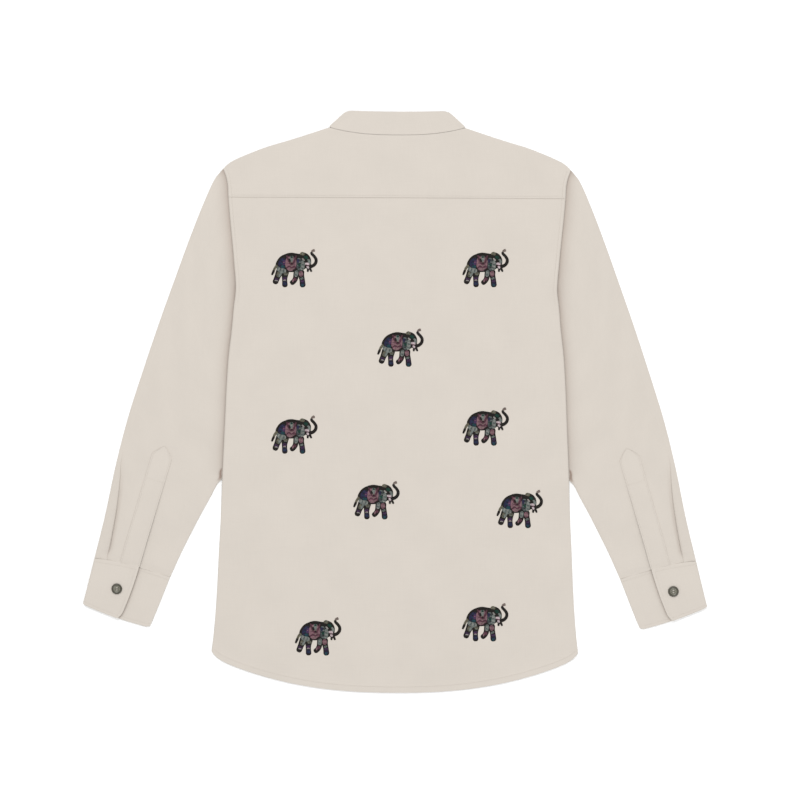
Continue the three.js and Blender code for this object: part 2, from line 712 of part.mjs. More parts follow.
/** The cuff as one strip: underlap, inner fold, lower layer, outer fold, overlap. */
function makeCuff(side) {
  const width = Math.hypot(
    CUFF_SEAM_OUTER[0] - CUFF_SEAM_INNER[0],
    CUFF_SEAM_OUTER[1] - CUFF_SEAM_INNER[1],
  );
  const spread = (from, to, count) => (
    Array.from({ length: count }, (_, k) => mix(from, to, k / (count - 1)))
  );
  const fold = (edge, inwards, from, to) => {
    const radius = Math.abs(to - from) / 2;
    const reach = (radius + CUFF_CLOTH / 2) / width;
    return Array.from({ length: FOLD_STEPS + 1 }, (_, k) => {
      const turn = (k / FOLD_STEPS) * Math.PI;
      return {
        share: edge + inwards * (reach - (radius / width) * Math.sin(turn)),
        height: mix(from, to, (1 - Math.cos(turn)) / 2),
      };
    });
  };
  const { lower, underlap, overlap } = CUFF_LEVELS;
  const innerFold = fold(1, -1, underlap, lower);
  const outerFold = fold(0, 1, lower, overlap);
  const strip = (down) => {
    const overlapEnd = CUFF_OVERLAP_END - CUFF_END_CURVE * down ** 2;
    const underlapEnd = CUFF_OVERLAP_END - CUFF_UNDERLAP;
    return [
      ...spread(underlapEnd, 0.93, 6).map((share) => ({ share, height: underlap })),
      ...innerFold,
      ...spread(0.93, 0.07, 8).map((share) => ({ share, height: lower })),
      ...outerFold,
      ...spread(0.09, overlapEnd, 6).map((share) => ({ share, height: overlap })),
    ];
  };
  const middle = Array.from({ length: CUFF_ROWS + 1 }, (_, i) => {
    const down = i / CUFF_ROWS;
    return strip(down).map(({ share, height }) => {
      const [x, y] = cuffPoint(share, down);
      return [side * x, y - (CLEAR / 2) * (1 - down), height];
    });
  });
  return thicken(middle, CUFF_CLOTH);
}

// ---------------------------------------------------------------- buttons

/** A round button with a raised rim, its back at height 0 and its face up. */
function makeButton() {
  const profile = [
    [0, 0],
    [0.78, 0],
    [1, 0.4],
    [1, 0.7],
    [0.88, 1],
    [0.7, 1],
    [0.56, 0.66],
    [0, 0.6],
  ].map(([out, up]) => new THREE.Vector2(out * BUTTON_RADIUS, up * BUTTON_DEPTH));
  const lathe = new THREE.LatheGeometry(profile, BUTTON_SIDES);
  lathe.rotateX(Math.PI / 2);
  return welded(lathe);
}

// ---------------------------------------------------------------- the garment

const FINISHES = {
  cloth: { color: '#dcd3c8', roughness: 0.9 },
  button: { color: '#5a5547', roughness: 0.45 },
};

const kurta = new THREE.Group();

function add(name, geometry, finish) {
  const material = new THREE.MeshStandardMaterial({ ...FINISHES[finish], metalness: 0 });
  const mesh = new THREE.Mesh(geometry, material);
  mesh.name = name;
  kurta.add(mesh);
  return mesh;
}

add('front', makeFront(), 'cloth');
add('front_placket', makeFrontPlacket(), 'cloth');
add('back', makeBack(), 'cloth');
add('yoke', makeYoke(), 'cloth');
add('collar_band', makeCollarBand(), 'cloth');

// The kurta lies back up, so the wearer's left is at -X.
for (const [sideName, side] of [['left', -1], ['right', 1]]) {
  add(`sleeve_${sideName}`, makeSleeve(side), 'cloth');
  add(`sleeve_placket_${sideName}`, makeSleevePlacket(side), 'cloth');
  add(`cuff_${sideName}`, makeCuff(side), 'cloth');
  const button = add(`cuff_button_${sideName}`, makeButton(), 'button');
  const cuffTop = CUFF_LEVELS.overlap + CUFF_CLOTH / 2;
  button.position.set(side * CUFF_BUTTON[0], CUFF_BUTTON[1], cuffTop + CLEAR);
}

// The front buttons face down, on the outer face of the front placket.
FRONT_BUTTON_HEIGHTS.forEach((y, i) => {
  const button = add(`front_button_${i + 1}`, makeButton(), 'button');
  button.rotation.x = Math.PI;
  button.position.set(0, y, BUTTON_DEPTH);
});

export default kurta;
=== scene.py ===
"""A long-sleeved kurta laid flat, back up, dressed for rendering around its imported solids.

Shapes are worked out in millimetres in the frame's own axes (+Z up, collar towards +Y) and
put into the meshes in metres. Right-hand pieces are made in plan and mirrored for the left.
"""
import math

import bpy
import numpy as np
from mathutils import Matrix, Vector


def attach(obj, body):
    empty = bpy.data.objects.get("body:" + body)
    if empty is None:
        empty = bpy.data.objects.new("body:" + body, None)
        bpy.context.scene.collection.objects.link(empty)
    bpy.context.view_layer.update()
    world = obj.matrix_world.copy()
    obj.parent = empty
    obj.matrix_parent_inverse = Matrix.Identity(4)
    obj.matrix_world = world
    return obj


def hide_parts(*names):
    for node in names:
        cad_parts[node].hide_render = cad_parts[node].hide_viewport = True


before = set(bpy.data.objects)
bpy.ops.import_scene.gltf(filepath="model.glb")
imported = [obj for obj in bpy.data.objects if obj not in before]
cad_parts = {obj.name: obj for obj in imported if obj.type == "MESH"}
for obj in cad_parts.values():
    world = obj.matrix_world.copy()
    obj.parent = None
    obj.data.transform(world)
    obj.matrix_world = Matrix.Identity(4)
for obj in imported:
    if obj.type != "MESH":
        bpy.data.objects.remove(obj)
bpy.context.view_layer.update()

bl_info = {
    "name": "Kurta, laid flat",
    "version": (1, 0, 0),
    "blender": (4, 5, 0),
    "location": "View3D > Sidebar > Kurta",
    "description": "Cloth, sewing, buttons and embroidery of a long-sleeved kurta",
    "category": "Object",
}

MM = 0.001

# ---------------------------------------------------------------- cut of the kurta, mm

CLOTH_WALL, BAND_WALL, CUFF_WALL = 1.05, 1.1, 1.2     # walls of the solids
CLEAR = 0.3                                           # gap between neighbouring solids

# side edge of the body: (height, half width), hem corner to shoulder point
BODY_EDGE = np.array([
    (-332, 242.5), (-306, 239.6), (-270, 236.8), (-232, 234.8), (-199, 233.4), (-172, 232.0),
    (-144, 230.8), (-118, 229.8), (-92, 229.0), (-62, 227.8), (-30, 226.4), (10, 224.8),
    (36, 223.4), (62, 221.6), (95, 217.8), (123, 215.4), (149, 212.7), (185, 215.4),
    (220, 218.8), (245, 221.3), (269.6, 223.3), (285, 224.2), (296, 226.3), (307, 230.0),
])
HEM_CORNER_Y, ARMHOLE_FOOT_Y, YOKE_Y, SHOULDER_Y = -332.0, 149.0, 269.6, 307.0
SHOULDER_X = 230.0
# corners of the part of a right-hand sleeve that lies under the body
ARMHOLE_FOOT = (212.7, ARMHOLE_FOOT_Y)
UNDERARM = (137.8, 94.7)
SIDE_CROSSING = (229.0, -92.0)

# collar top, collar folds and shoulders: (distance from the centre back, height)
TOP_EDGE = np.array([
    (0, 383.6), (67.8, 384.6), (90.0, 362.5), (124.8, 350.9), (150, 343.0), (168, 337.8),
    (185, 331.7), (203.8, 324.0), (213, 319.9), (220, 316.2), (226, 311.6), (230.0, 307.0),
])
# the hem: its lowest height, its rise and power, and those of its rounded corner
HEM_Y, HEM_RISE, HEM_CURVE = -385.5, 46.0, 2.37
HEM_CORNER, HEM_CORNER_CURVE = 7.5, 36.0

# neckline and collar band
NECK_HALF_WIDTH, NECK_SIDE_Y, NECK_BACK_Y, NECK_BACK_CURVE = 90.0, 362.5, 352.5, 2.6
NECK_FRONT_DEPTH = 92.5
BAND_TOP_HALF_WIDTH, BAND_TOP_SIDE_Y, BAND_TOP_DIP, BAND_FRONT_DEPTH = 67.8, 384.8, 1.2, 83.8
BAND_INNER_GAP, BAND_FOLD_RAISE, BAND_END_ANGLE, BAND_HEIGHT = 0.4, 1.6, 88.8, 33.0

# air between back and front, its ramp at the outline, and the power by which two lifts join
FILL_HEIGHT, FILL_MARGIN, BLEND_POWER = 2.6, 60.0, 3.0

# folded edges of a right-hand sleeve: (height, distance from the centre back), cuff seam up
OVERARM_EDGE = np.array([
    (-210, 398.4), (-152, 384.3), (-88, 371.0), (-24.5, 355.1), (39, 335.2), (102.7, 314.0),
    (166.3, 291.5), (214, 274.3), (261.7, 255.7), (293.5, 241.2), (307, 230.3),
])
UNDERARM_EDGE = np.array([
    (-234, 298.0), (-199, 282.2), (-152, 258.4), (-120, 241.2), (94.7, 137.8),
])
SLEEVE_EDGE_GAP, SLEEVE_FULLNESS, SLEEVE_FULL_AT = 0.35, 0.75, 45.0

# a right-hand cuff: its corners, the bows of its seam and hem, and, in shares of its width
# from the outer edge, where its overlap ends, how far that end draws back, and the underlap
CUFF_SEAM_OUTER, CUFF_SEAM_INNER = (398.4, -210.0), (298.0, -234.0)
CUFF_HEM_OUTER, CUFF_HEM_INNER = (413.2, -270.5), (324.5, -301.0)
CUFF_SEAM_BOW, CUFF_HEM_BOW = 3.7, -2.2
CUFF_OVERLAP_END, CUFF_END_CURVE, CUFF_UNDERLAP = 0.5955, 0.045, 0.22
CUFF_LENGTH, CUFF_MEAN_WIDTH = 62.0, 97.0
# heights of the cuff's three layers
CUFF_LOWER = CUFF_WALL / 2
CUFF_UNDERLAP_Z = CUFF_WALL * 1.5
CUFF_OVERLAP_Z = CUFF_WALL * 2.5 + 2 * CLEAR

# a right-hand sleeve placket, the cuff opening's free edge, which stands up, and the pleat
TOWER_TIP, TOWER_FOOT = (305.6, -61.6), (351.3, -216.6)
TOWER_HALF_WIDTH, TOWER_POINT_LENGTH, TOWER_BOX_AT = 13.5, 14.0, 46.0
OPEN_LIFT, OPEN_WIDTH = 1.8, 8.0
PLEAT_HEAD, PLEAT_FOOT, PLEAT_BOW = (363.8, -84.0), (381.0, -206.5), 2.9

# front placket and buttons
PLACKET_HALF_WIDTH, PLACKET_END_Y, SLIT_END_Y = 15.0, -15.0, 5.0
FRONT_BUTTON_HEIGHTS = (245.0, 160.0, 75.0)
BUTTON_RADIUS, BUTTON_DEPTH = 7.0, 2.0
CUFF_BUTTON, CUFF_BUTTON_Z = (368.0, -249.5), 4.65

# lifts of the front over a covered sleeve and over the buttoned placket
SLEEVE_HEIGHT = 2 * CLOTH_WALL + SLEEVE_EDGE_GAP + SLEEVE_FULLNESS
FLAP_LIFT, FLAP_MARGIN, FLAP_RAMP = SLEEVE_HEIGHT + CLEAR + 0.1, 10.0, 55.0
PLACKET_LIFT, PLACKET_RAMP = BUTTON_DEPTH + CLEAR + CLOTH_WALL + CLEAR, 68.0
PLACKET_SIDE_MARGIN, PLACKET_END_MARGIN = 1.5, 10.0

# ---------------------------------------------------------------- lie and sewing of the cloth, mm

# distance of each topstitching from the edge that it holds
ARMHOLE_STITCH, HEM_STITCH, YOKE_STITCH = 4.8, 1.4, 2.6
PLACKET_STITCH, BAND_STITCH, CUFF_STITCH = 2.0, 2.8, 3.6
PLACKET_BOX = 18.0            # from the front placket's end to the stitches across it
STITCH_RAISE = 0.08           # height of the thread's middle over the cloth

# an armhole's edge stands up: how far in from the edge and how wide, how far below the
# sleeve's crossing and over what ramp it starts, and the height and ramp where it ends
LIFT_INSET, LIFT_WIDTH = 2.0, 11.0
LIFT_START, LIFT_START_RAMP = 38.0, 45.0
LIFT_END_Y, LIFT_END_RAMP = 310.0, 14.0
LIFT_LOST_OVER_FLAP = 0.6     # share of that rise which goes where the front is raised too

# how far an edge rolls down, and over what distance from it
SIDE_ROLL, SIDE_ROLL_ON_SLEEVE, SIDE_ROLL_WIDTH = 0.9, 1.7, 3.0
HEM_ROLL, TOP_ROLL, YOKE_ROLL, PLACKET_ROLL = (0.35, 1.4), (0.7, 2.4), (0.14, 1.2), (0.35, 1.1)
# how far a row of topstitching sinks, and its half width
HEM_GROOVE, ARMHOLE_GROOVE = (0.03, 0.9), (0.28, 0.9)
PLACKET_GROOVE, TRIM_GROOVE = (0.12, 0.8), (0.16, 0.8)
GROOVE_START_Y, GROOVE_START_RAMP = 120.0, 40.0    # where the armholes' topstitching sinks in
# ridge beside the edge of collar band and cuff: (distance from the edge, height, half width)
BAND_RIDGE, CUFF_RIDGE = (1.2, 0.18, 1.3), (1.5, 0.15, 1.5)
# rise of doubled cloth: the turned hem, the yoke's folded edge and its edge at the neck
HEM_RAISE, YOKE_RAISE, NECK_RAISE = 0.30, 0.20, 0.25
YOKE_FOLD, YOKE_FOLD_RAMP = 4.0, 12.0    # width of the yoke's fold, and how far it eases out
NECK_FOLD = 2.5                          # middle and half width of the doubled edge at the neck
UNDER_YOKE_DIP, UNDER_YOKE_RAMP = 0.62, 2.6    # how the back sinks in under the yoke
BODY_INSET = 0.1              # how far the body's cloth lies under its solid's upper face
FRONT_RAISE = 0.12            # how far the front's cloth lies over its solid's lower face
FRONT_HEM_INSET = 0.6         # how far the front's hem stays behind the back's
# front placket's strip: its drop below the front, its extra thickness, its stitches' drop
STRIP_DROP, STRIP_EXTRA, STRIP_STITCH_DROP = 0.2, 0.2, 0.35
CREASE_MARGIN = 30.0          # over which the back's creases fade out at its outline

SLEEVE_FOLD_Z = 1.25          # height of a sleeve's folded edges
SLEEVE_TUCK = 3.2             # how far its upper layer tucks under the body's edge
SEAM_LAP = 1.0                # how far cuff and sleeve lap over each other at their seam
# a small tuck where the sleeve comes out from under the body
TUCK_HEAD, TUCK_FOOT = (229.8, -88.0), (237.8, -107.5)
UNDERARM_TUCK_Y, UNDERARM_TUCK, UNDERARM_TUCK_REACH = -102.0, 3.6, 5.5
# painted shade: how much darker the cloth's colour is made beside the body, in the tuck, beside the
# pleat and the overlap, where shade falls
BODY_SHADE, TUCK_SHADE, PLEAT_SHADE, OVERLAP_SHADE = 0.19, 0.64, 0.19, 0.14
BODY_SHADE_REACH, OVERLAP_SHADE_REACH = 6.4, 2.2
# the painted shade beside the body deepens up the sleeve: (from this height, over this much, by this)
BODY_SHADE_RISES = ((-30.0, 130.0, 0.09), (100.0, 90.0, 0.11))
# how far a sleeve dips towards the body, towards its cuff seam, and there under the overlap
BODY_DIP, SEAM_DIP, OVERLAP_DIP = 1.0, 1.15, 0.5
BODY_DIP_RAMP, SEAM_DIP_RAMP = 20.0, 9.0
# over what distance from the body's edge and from its own edges a sleeve puffs out, and over
# what distance from its own edges its creases set in
UNCOVERED_RAMP, PUFF_RAMP, CREASE_RAMP = 28.0, 32.0, 14.0

# thickness of collar band and cuffs, which are two layers of cloth, and of a sleeve placket
TRIM_THICKNESS, PLACKET_THICKNESS = 1.0, 0.75
# how red, green and blue share in the painted shade of deep cloth, a warm shadow tone
PAINTED_SHADE_HUE = np.array([0.88, 1.04, 1.1])

STITCH_PITCH = 1.25           # from one stitch to the next, in stitch lengths
# a stitch's tube, ring by ring: (share of its length, share of its thickness)
STITCH_RINGS = np.array([(0, 0.3), (0.14, 0.85), (0.5, 1), (0.86, 0.85), (1, 0.3)])

# soft creases left in the back by folding and handling:
# from (x, y) to (x, y), half width, depth (+ a ridge, - a trough)
BACK_CREASES = (
    (-150, 215, -118, 60, 15, -0.40), (-128, 120, -150, -70, 18, 0.34),
    (132, 232, 146, 86, 17, -0.36), (158, 40, 128, -130, 20, 0.36),
    (-60, 20, -86, -190, 24, -0.38), (52, -40, 84, -250, 22, -0.34),
    (-176, -150, -150, -318, 18, 0.34), (186, -170, 170, -320, 16, -0.30),
    (-14, 230, -30, 120, 20, 0.26), (12, -230, -6, -350, 26, 0.34),
    (-196, 130, -150, 92, 11, 0.45), (196, 126, 154, 84, 12, 0.42),
    (-200, 88, -164, 30, 10, -0.35), (202, 84, 170, 18, 11, -0.38),
    (-100, -290, 20, -312, 13, -0.22), (96, 170, 40, 148, 14, -0.20),
)
SLEEVE_CREASES = (
    (262, 210, 252, 92, 10, -0.45), (284, 128, 272, 12, 12, 0.40),
    (240, 170, 262, 120, 9, 0.40), (318, 40, 296, -44, 9, -0.40),
    (300, -10, 322, -52, 8, 0.35), (262, -40, 300, -96, 10, -0.42),
    (334, -30, 350, -110, 8, -0.30), (286, -120, 316, -196, 9, 0.38),
    (276, -150, 296, -214, 7, -0.35), (356, -150, 372, -204, 5, -0.30),
    (330, -176, 342, -212, 5, 0.25), (304, -176, 318, -222, 5, -0.28),
)


# ---------------------------------------------------------------- small curves

def mix(a, b, share):
    """A straight blend from a to b."""
    return a + (b - a) * share


def fade(distance, width):
    """0 at nothing, 1 at the width, with a cubic ease at both ends."""
    t = np.clip(np.asarray(distance, float) / width, 0, 1)
    return t * t * (3 - 2 * t)


def bell(distance, width):
    """A bell curve, 1 at distance 0 and about a third at the width."""
    return np.exp(-(np.asarray(distance, float) / width) ** 2)


def rounded(distance, radius, power=2.2):
    """A quarter of a superellipse: 0 at the edge, 1 from the radius inwards."""
    t = np.clip(np.asarray(distance, float) / radius, 0, 1)
    return (1 - (1 - t) ** power) ** (1 / power)


def roll(distance, drop, width):
    """How far an edge rolls down: the drop at the edge, nothing from the width inwards."""
    return drop * (1 - rounded(distance, width))


def groove(distance, depth, half_width):
    """How far cloth sinks along a row of topstitching at distance 0, a bell across it."""
    return depth * bell(distance, half_width)


def read_table(rows, value):
    """A smooth curve through a table: cubic steps between rows with averaged slopes."""
    xs, ys = rows[:, 0], rows[:, 1]
    before = np.maximum(np.arange(len(xs)) - 1, 0)
    after = np.minimum(np.arange(len(xs)) + 1, len(xs) - 1)
    slopes = (ys[after] - ys[before]) / (xs[after] - xs[before])
    value = np.asarray(value, float)
    i = np.clip(np.searchsorted(xs, value, side="right") - 1, 0, len(xs) - 2)
    span = xs[i + 1] - xs[i]
    t = np.clip((value - xs[i]) / span, 0, 1)
    bulge = (1 - t) * slopes[i] * span - t * slopes[i + 1] * span
    return mix(ys[i], ys[i + 1], t) + t * (1 - t) * (bulge + (1 - 2 * t) * (ys[i] - ys[i + 1]))


def along_stretch(x, y, start, end):
    """Share along a stretch between two plan points, and the signed distance from it."""
    ax, ay = end[0] - start[0], end[1] - start[1]
    length = math.hypot(ax, ay)
    share = ((x - start[0]) * ax + (y - start[1]) * ay) / length ** 2
    aside = ((x - start[0]) * ay - (y - start[1]) * ax) / length
    return share, aside


def creases(x, y, rows):
    """Sum of soft ridges and troughs, each a bell across its line that tapers to its ends."""
    total = np.zeros(np.broadcast(x, y).shape)
    for x0, y0, x1, y1, half_width, depth in rows:
        share, aside = along_stretch(x, y, (x0, y0), (x1, y1))
        taper = np.sin(np.pi * np.clip(share, 0, 1)) ** 2
        wander = half_width * 0.5 * np.sin(2.3 * np.pi * share + x0)
        total = total + depth * taper * bell(aside - wander, half_width)
    return total


# ---------------------------------------------------------------- heights over the plan, mm

def side_half_width(y):
    """Half width of the body at a height along its side edge."""
    return read_table(BODY_EDGE, y)


def hem_y(share):
    """Height of the hem: a shirt-tail power curve and a steeper one for the rounded corner."""
    s = np.minimum(np.abs(share), 1)
    return HEM_Y + HEM_RISE * s ** HEM_CURVE + HEM_CORNER * s ** HEM_CORNER_CURVE


def top_edge_y(x):
    """Height of the garment's top edge: collar, collar folds and shoulders."""
    return np.interp(np.abs(x), TOP_EDGE[:, 0], TOP_EDGE[:, 1])


def neck_back_y(x):
    """The back neckline, a power curve from the centre back to the side of the neck."""
    share = np.minimum(np.abs(x) / NECK_HALF_WIDTH, 1)
    return mix(NECK_BACK_Y, NECK_SIDE_Y, share ** NECK_BACK_CURVE)


def distance_to_flap(x, y):
    """Plan distance from the part of a sleeve that the body covers, a triangle; 0 inside it."""
    corners = (ARMHOLE_FOOT, UNDERARM, SIDE_CROSSING)
    inside = np.ones(np.broadcast(x, y).shape, bool)
    nearest = np.full(inside.shape, 1e9)
    for a, b in zip(corners, corners[1:] + corners[:1]):
        share, aside = along_stretch(x, y, a, b)
        inside &= aside <= 0
        share = np.clip(share, 0, 1)
        gap = np.hypot(x - mix(a[0], b[0], share), y - mix(a[1], b[1], share))
        nearest = np.minimum(nearest, gap)
    return np.where(inside, 0, nearest)


def front_height(x, y):
    """Lower face of the front: raised over the covered sleeves and over the buttoned placket."""
    over_sleeve = FLAP_LIFT * (1 - fade(distance_to_flap(np.abs(x), y) - FLAP_MARGIN, FLAP_RAMP))
    sideways = np.abs(x) - PLACKET_HALF_WIDTH - PLACKET_SIDE_MARGIN
    over_placket = PLACKET_LIFT * (1 - fade(sideways, PLACKET_RAMP)) \
        * (1 - fade(PLACKET_END_Y - PLACKET_END_MARGIN - y, PLACKET_RAMP)) \
        * (1 - fade(y - (NECK_SIDE_Y - NECK_FRONT_DEPTH), PLACKET_RAMP))
    return (over_sleeve ** BLEND_POWER + over_placket ** BLEND_POWER) ** (1 / BLEND_POWER)


def air_height(x, y):
    """Air between back and front: full in the middle, fading out at the outline."""
    half_width = side_half_width(y)
    share = np.minimum(np.abs(x) / half_width, 1)
    return FILL_HEIGHT * fade(half_width - np.abs(x), FILL_MARGIN) \
        * fade(y - hem_y(share), FILL_MARGIN) * fade(top_edge_y(x) - y, FILL_MARGIN)


def back_height(x, y):
    """Lower face of the back's and the yoke's solid wall."""
    lift = (front_height(x, y) ** BLEND_POWER + air_height(x, y) ** BLEND_POWER) ** (1 / BLEND_POWER)
    return CLOTH_WALL + CLEAR + lift


def sleeve_inner_x(y):
    """Inner boundary of a sleeve's plan: armhole, then the covered end, then the underarm edge."""
    covered = mix(UNDERARM[0], ARMHOLE_FOOT[0], (y - UNDERARM[1]) / (ARMHOLE_FOOT_Y - UNDERARM[1]))
    return np.where(
        y >= ARMHOLE_FOOT_Y,
        side_half_width(y) + CLEAR,
        np.where(y >= UNDERARM[1], covered, read_table(UNDERARM_EDGE, y)),
    )


def cuff_share(x):
    """Share across the cuff seam, from its outer end, by distance from the centre back."""
    return np.clip((CUFF_SEAM_OUTER[0] - x) / (CUFF_SEAM_OUTER[0] - CUFF_SEAM_INNER[0]), 0, 1)


def overarm_x(y):
    """Outer edge of a sleeve's plan."""
    return read_table(OVERARM_EDGE, y)


def cuff_point(share, down):
    """Plan point of a cuff: share across from its outer edge, down from its seam to its hem."""
    bow = np.sin(np.pi * share)
    seam_x = mix(CUFF_SEAM_OUTER[0], CUFF_SEAM_INNER[0], share)
    seam_y = mix(CUFF_SEAM_OUTER[1], CUFF_SEAM_INNER[1], share) + CUFF_SEAM_BOW * bow
    hem_x = mix(CUFF_HEM_OUTER[0], CUFF_HEM_INNER[0], share)
    hem_edge_y = mix(CUFF_HEM_OUTER[1], CUFF_HEM_INNER[1], share) + CUFF_HEM_BOW * bow
    return mix(seam_x, hem_x, down), mix(seam_y, hem_edge_y, down)


# ---------------------------------------------------------------- sizes and colours to change

class KurtaSizes(bpy.types.PropertyGroup):
    """How the cloth lies and how its sewing stands out."""

    cloth: bpy.props.FloatProperty(
        name="Cloth thickness", description="One layer of the shirt cloth",
        default=0.0006, min=0.0002, max=0.0012, subtype="DISTANCE", unit="LENGTH")
    armhole_lift: bpy.props.FloatProperty(
        name="Armhole lift", description="How far the body's edge stands up along the armholes",
        default=0.0030, min=0.0, max=0.005, subtype="DISTANCE", unit="LENGTH")
    sleeve_puff: bpy.props.FloatProperty(
        name="Sleeve puff", description="How far the sleeves stand up between their edges",
        default=0.0014, min=0.0, max=0.005, subtype="DISTANCE", unit="LENGTH")
    pleat_height: bpy.props.FloatProperty(
        name="Pleat height", description="How far the cuff pleat's fold stands up",
        default=0.0036, min=0.0, max=0.006, subtype="DISTANCE", unit="LENGTH")
    hem_width: bpy.props.FloatProperty(
        name="Hem width", description="Width of the turned-up hem",
        default=0.009, min=0.003, max=0.03, subtype="DISTANCE", unit="LENGTH")
    stitch_length: bpy.props.FloatProperty(
        name="Stitch length", description="One stitch of the topstitching",
        default=0.0024, min=0.001, max=0.006, subtype="DISTANCE", unit="LENGTH")
    thread: bpy.props.FloatProperty(
        name="Thread thickness", description="Thickness of the sewing thread",
        default=0.00045, min=0.0001, max=0.001, subtype="DISTANCE", unit="LENGTH")
    embroidery: bpy.props.FloatProperty(
        name="Embroidery height", description="How far a layer of embroidery stands up",
        default=0.00022, min=0.00005, max=0.001, subtype="DISTANCE", unit="LENGTH")


class KurtaColours(bpy.types.PropertyGroup):
    """Colours of the cloth, thread, buttons and floor."""

    cloth: bpy.props.FloatVectorProperty(
        name="Cloth", description="Ecru linen and cotton", size=3, subtype="COLOR",
        default=(0.534, 0.490, 0.440), min=0, max=1)
    thread: bpy.props.FloatVectorProperty(
        name="Sewing thread", description="Thread of the seams, close to the cloth", size=3,
        subtype="COLOR", default=(0.56, 0.513, 0.462), min=0, max=1)
    button_rim: bpy.props.FloatVectorProperty(
        name="Button rim", description="Dark olive-grey rim", size=3, subtype="COLOR",
        default=(0.045, 0.04, 0.026), min=0, max=1)
    button_middle: bpy.props.FloatVectorProperty(
        name="Button middle", description="Paler dish of the buttons", size=3, subtype="COLOR",
        default=(0.145, 0.14, 0.105), min=0, max=1)
    floor: bpy.props.FloatVectorProperty(
        name="Floor", description="Plain pale floor", size=3, subtype="COLOR",
        default=(0.93, 0.93, 0.93), min=0, max=1)


# ---------------------------------------------------------------- surfaces of the cloth, mm

def sizes_mm():
    """The user's sizes in millimetres, by name."""
    group = bpy.context.scene.kurta_sizes
    return {key: getattr(group, key) / MM for key in KurtaSizes.__annotations__}


def body_top(x, y):
    """
    Upper face of the back and yoke: the solid's face, lifted along the armholes, with the
    creases, the turned hem, and edges that roll down at the sides, hem and shoulders.
    """
    size = sizes_mm()
    from_side = side_half_width(y) - np.abs(x)
    from_hem = y - hem_y(np.abs(x) / side_half_width(y))
    from_top = top_edge_y(x) - y
    on_sleeve = fade(y - SIDE_CROSSING[1] + LIFT_START, LIFT_START_RAMP)
    from_turning = from_hem - size["hem_width"]
    lift = size["armhole_lift"] * (1 - LIFT_LOST_OVER_FLAP * front_height(x, y) / FLAP_LIFT)
    top = back_height(x, y) + CLOTH_WALL - BODY_INSET
    top = top + lift * bell(from_side - LIFT_INSET, LIFT_WIDTH) * on_sleeve \
        * fade(LIFT_END_Y - y, LIFT_END_RAMP)
    top = top + creases(x, y, BACK_CREASES) * fade(from_side, CREASE_MARGIN) \
        * fade(from_top, CREASE_MARGIN)
    top = top + HEM_RAISE * (1 - fade(from_turning, HEM_STITCH))
    top = top - groove(from_turning + HEM_STITCH, *HEM_GROOVE)
    top = top - groove(from_side - ARMHOLE_STITCH, *ARMHOLE_GROOVE) \
        * fade(y - GROOVE_START_Y, GROOVE_START_RAMP)
    side_roll = SIDE_ROLL + SIDE_ROLL_ON_SLEEVE * on_sleeve * fade(SHOULDER_Y - y, 12)
    top = top - roll(from_side, side_roll, SIDE_ROLL_WIDTH)
    top = top - roll(from_hem, *HEM_ROLL)
    return top - roll(from_top, *TOP_ROLL) * (np.abs(x) > NECK_HALF_WIDTH - 4)


def yoke_top(x, y):
    """Upper face of the yoke: the body's, raised along its lower edge, which is folded under."""
    above = y - YOKE_Y
    raised = YOKE_RAISE * (1 - fade(above - YOKE_FOLD, YOKE_FOLD_RAMP)) - roll(above, *YOKE_ROLL)
    at_neck = NECK_RAISE * bell(neck_back_y(x) - y - NECK_FOLD, NECK_FOLD) \
        * (np.abs(x) < NECK_HALF_WIDTH)
    return body_top(x, y) + raised * inside_armhole(x, y) + at_neck


def inside_armhole(x, y):
    """1 on the body, easing to 0 within the seam allowance along its side edges."""
    return fade(side_half_width(y) - np.abs(x) - 3, 5)


def pleat_line_x(y):
    """The pleat's line over the plan: straight from head to foot, with a bow inwards."""
    down = (y - PLEAT_HEAD[1]) / (PLEAT_FOOT[1] - PLEAT_HEAD[1])
    bow = PLEAT_BOW * np.sin(np.pi * np.clip(down, 0, 1) ** 0.75)
    return mix(PLEAT_HEAD[0], PLEAT_FOOT[0], down) - bow


def sleeve_painted_shade(x, y, pleat_growth):
    """Painted shade of a sleeve, how much darker its colour is made where shade falls in its folds:
    beside the body, in its tuck, beside the pleat.
    """
    from_body = np.maximum(x - side_half_width(y), 0)
    near = sum((rise * fade(y - start, ramp) for start, ramp, rise in BODY_SHADE_RISES), BODY_SHADE)
    beside_body = near * np.exp(-(from_body / BODY_SHADE_REACH) ** 1.2) * fade(y + 110, 30)
    share, aside = along_stretch(x, y, TUCK_HEAD, TUCK_FOOT)
    tuck = TUCK_SHADE * bell(aside, 1.5) * fade(share + 0.1, 0.35) * (1 - fade(share - 0.7, 0.3))
    beside_pleat = PLEAT_SHADE * pleat_growth * bell(pleat_line_x(y) - x - 1.6, 2.2)
    return np.maximum(beside_body, tuck) + beside_pleat


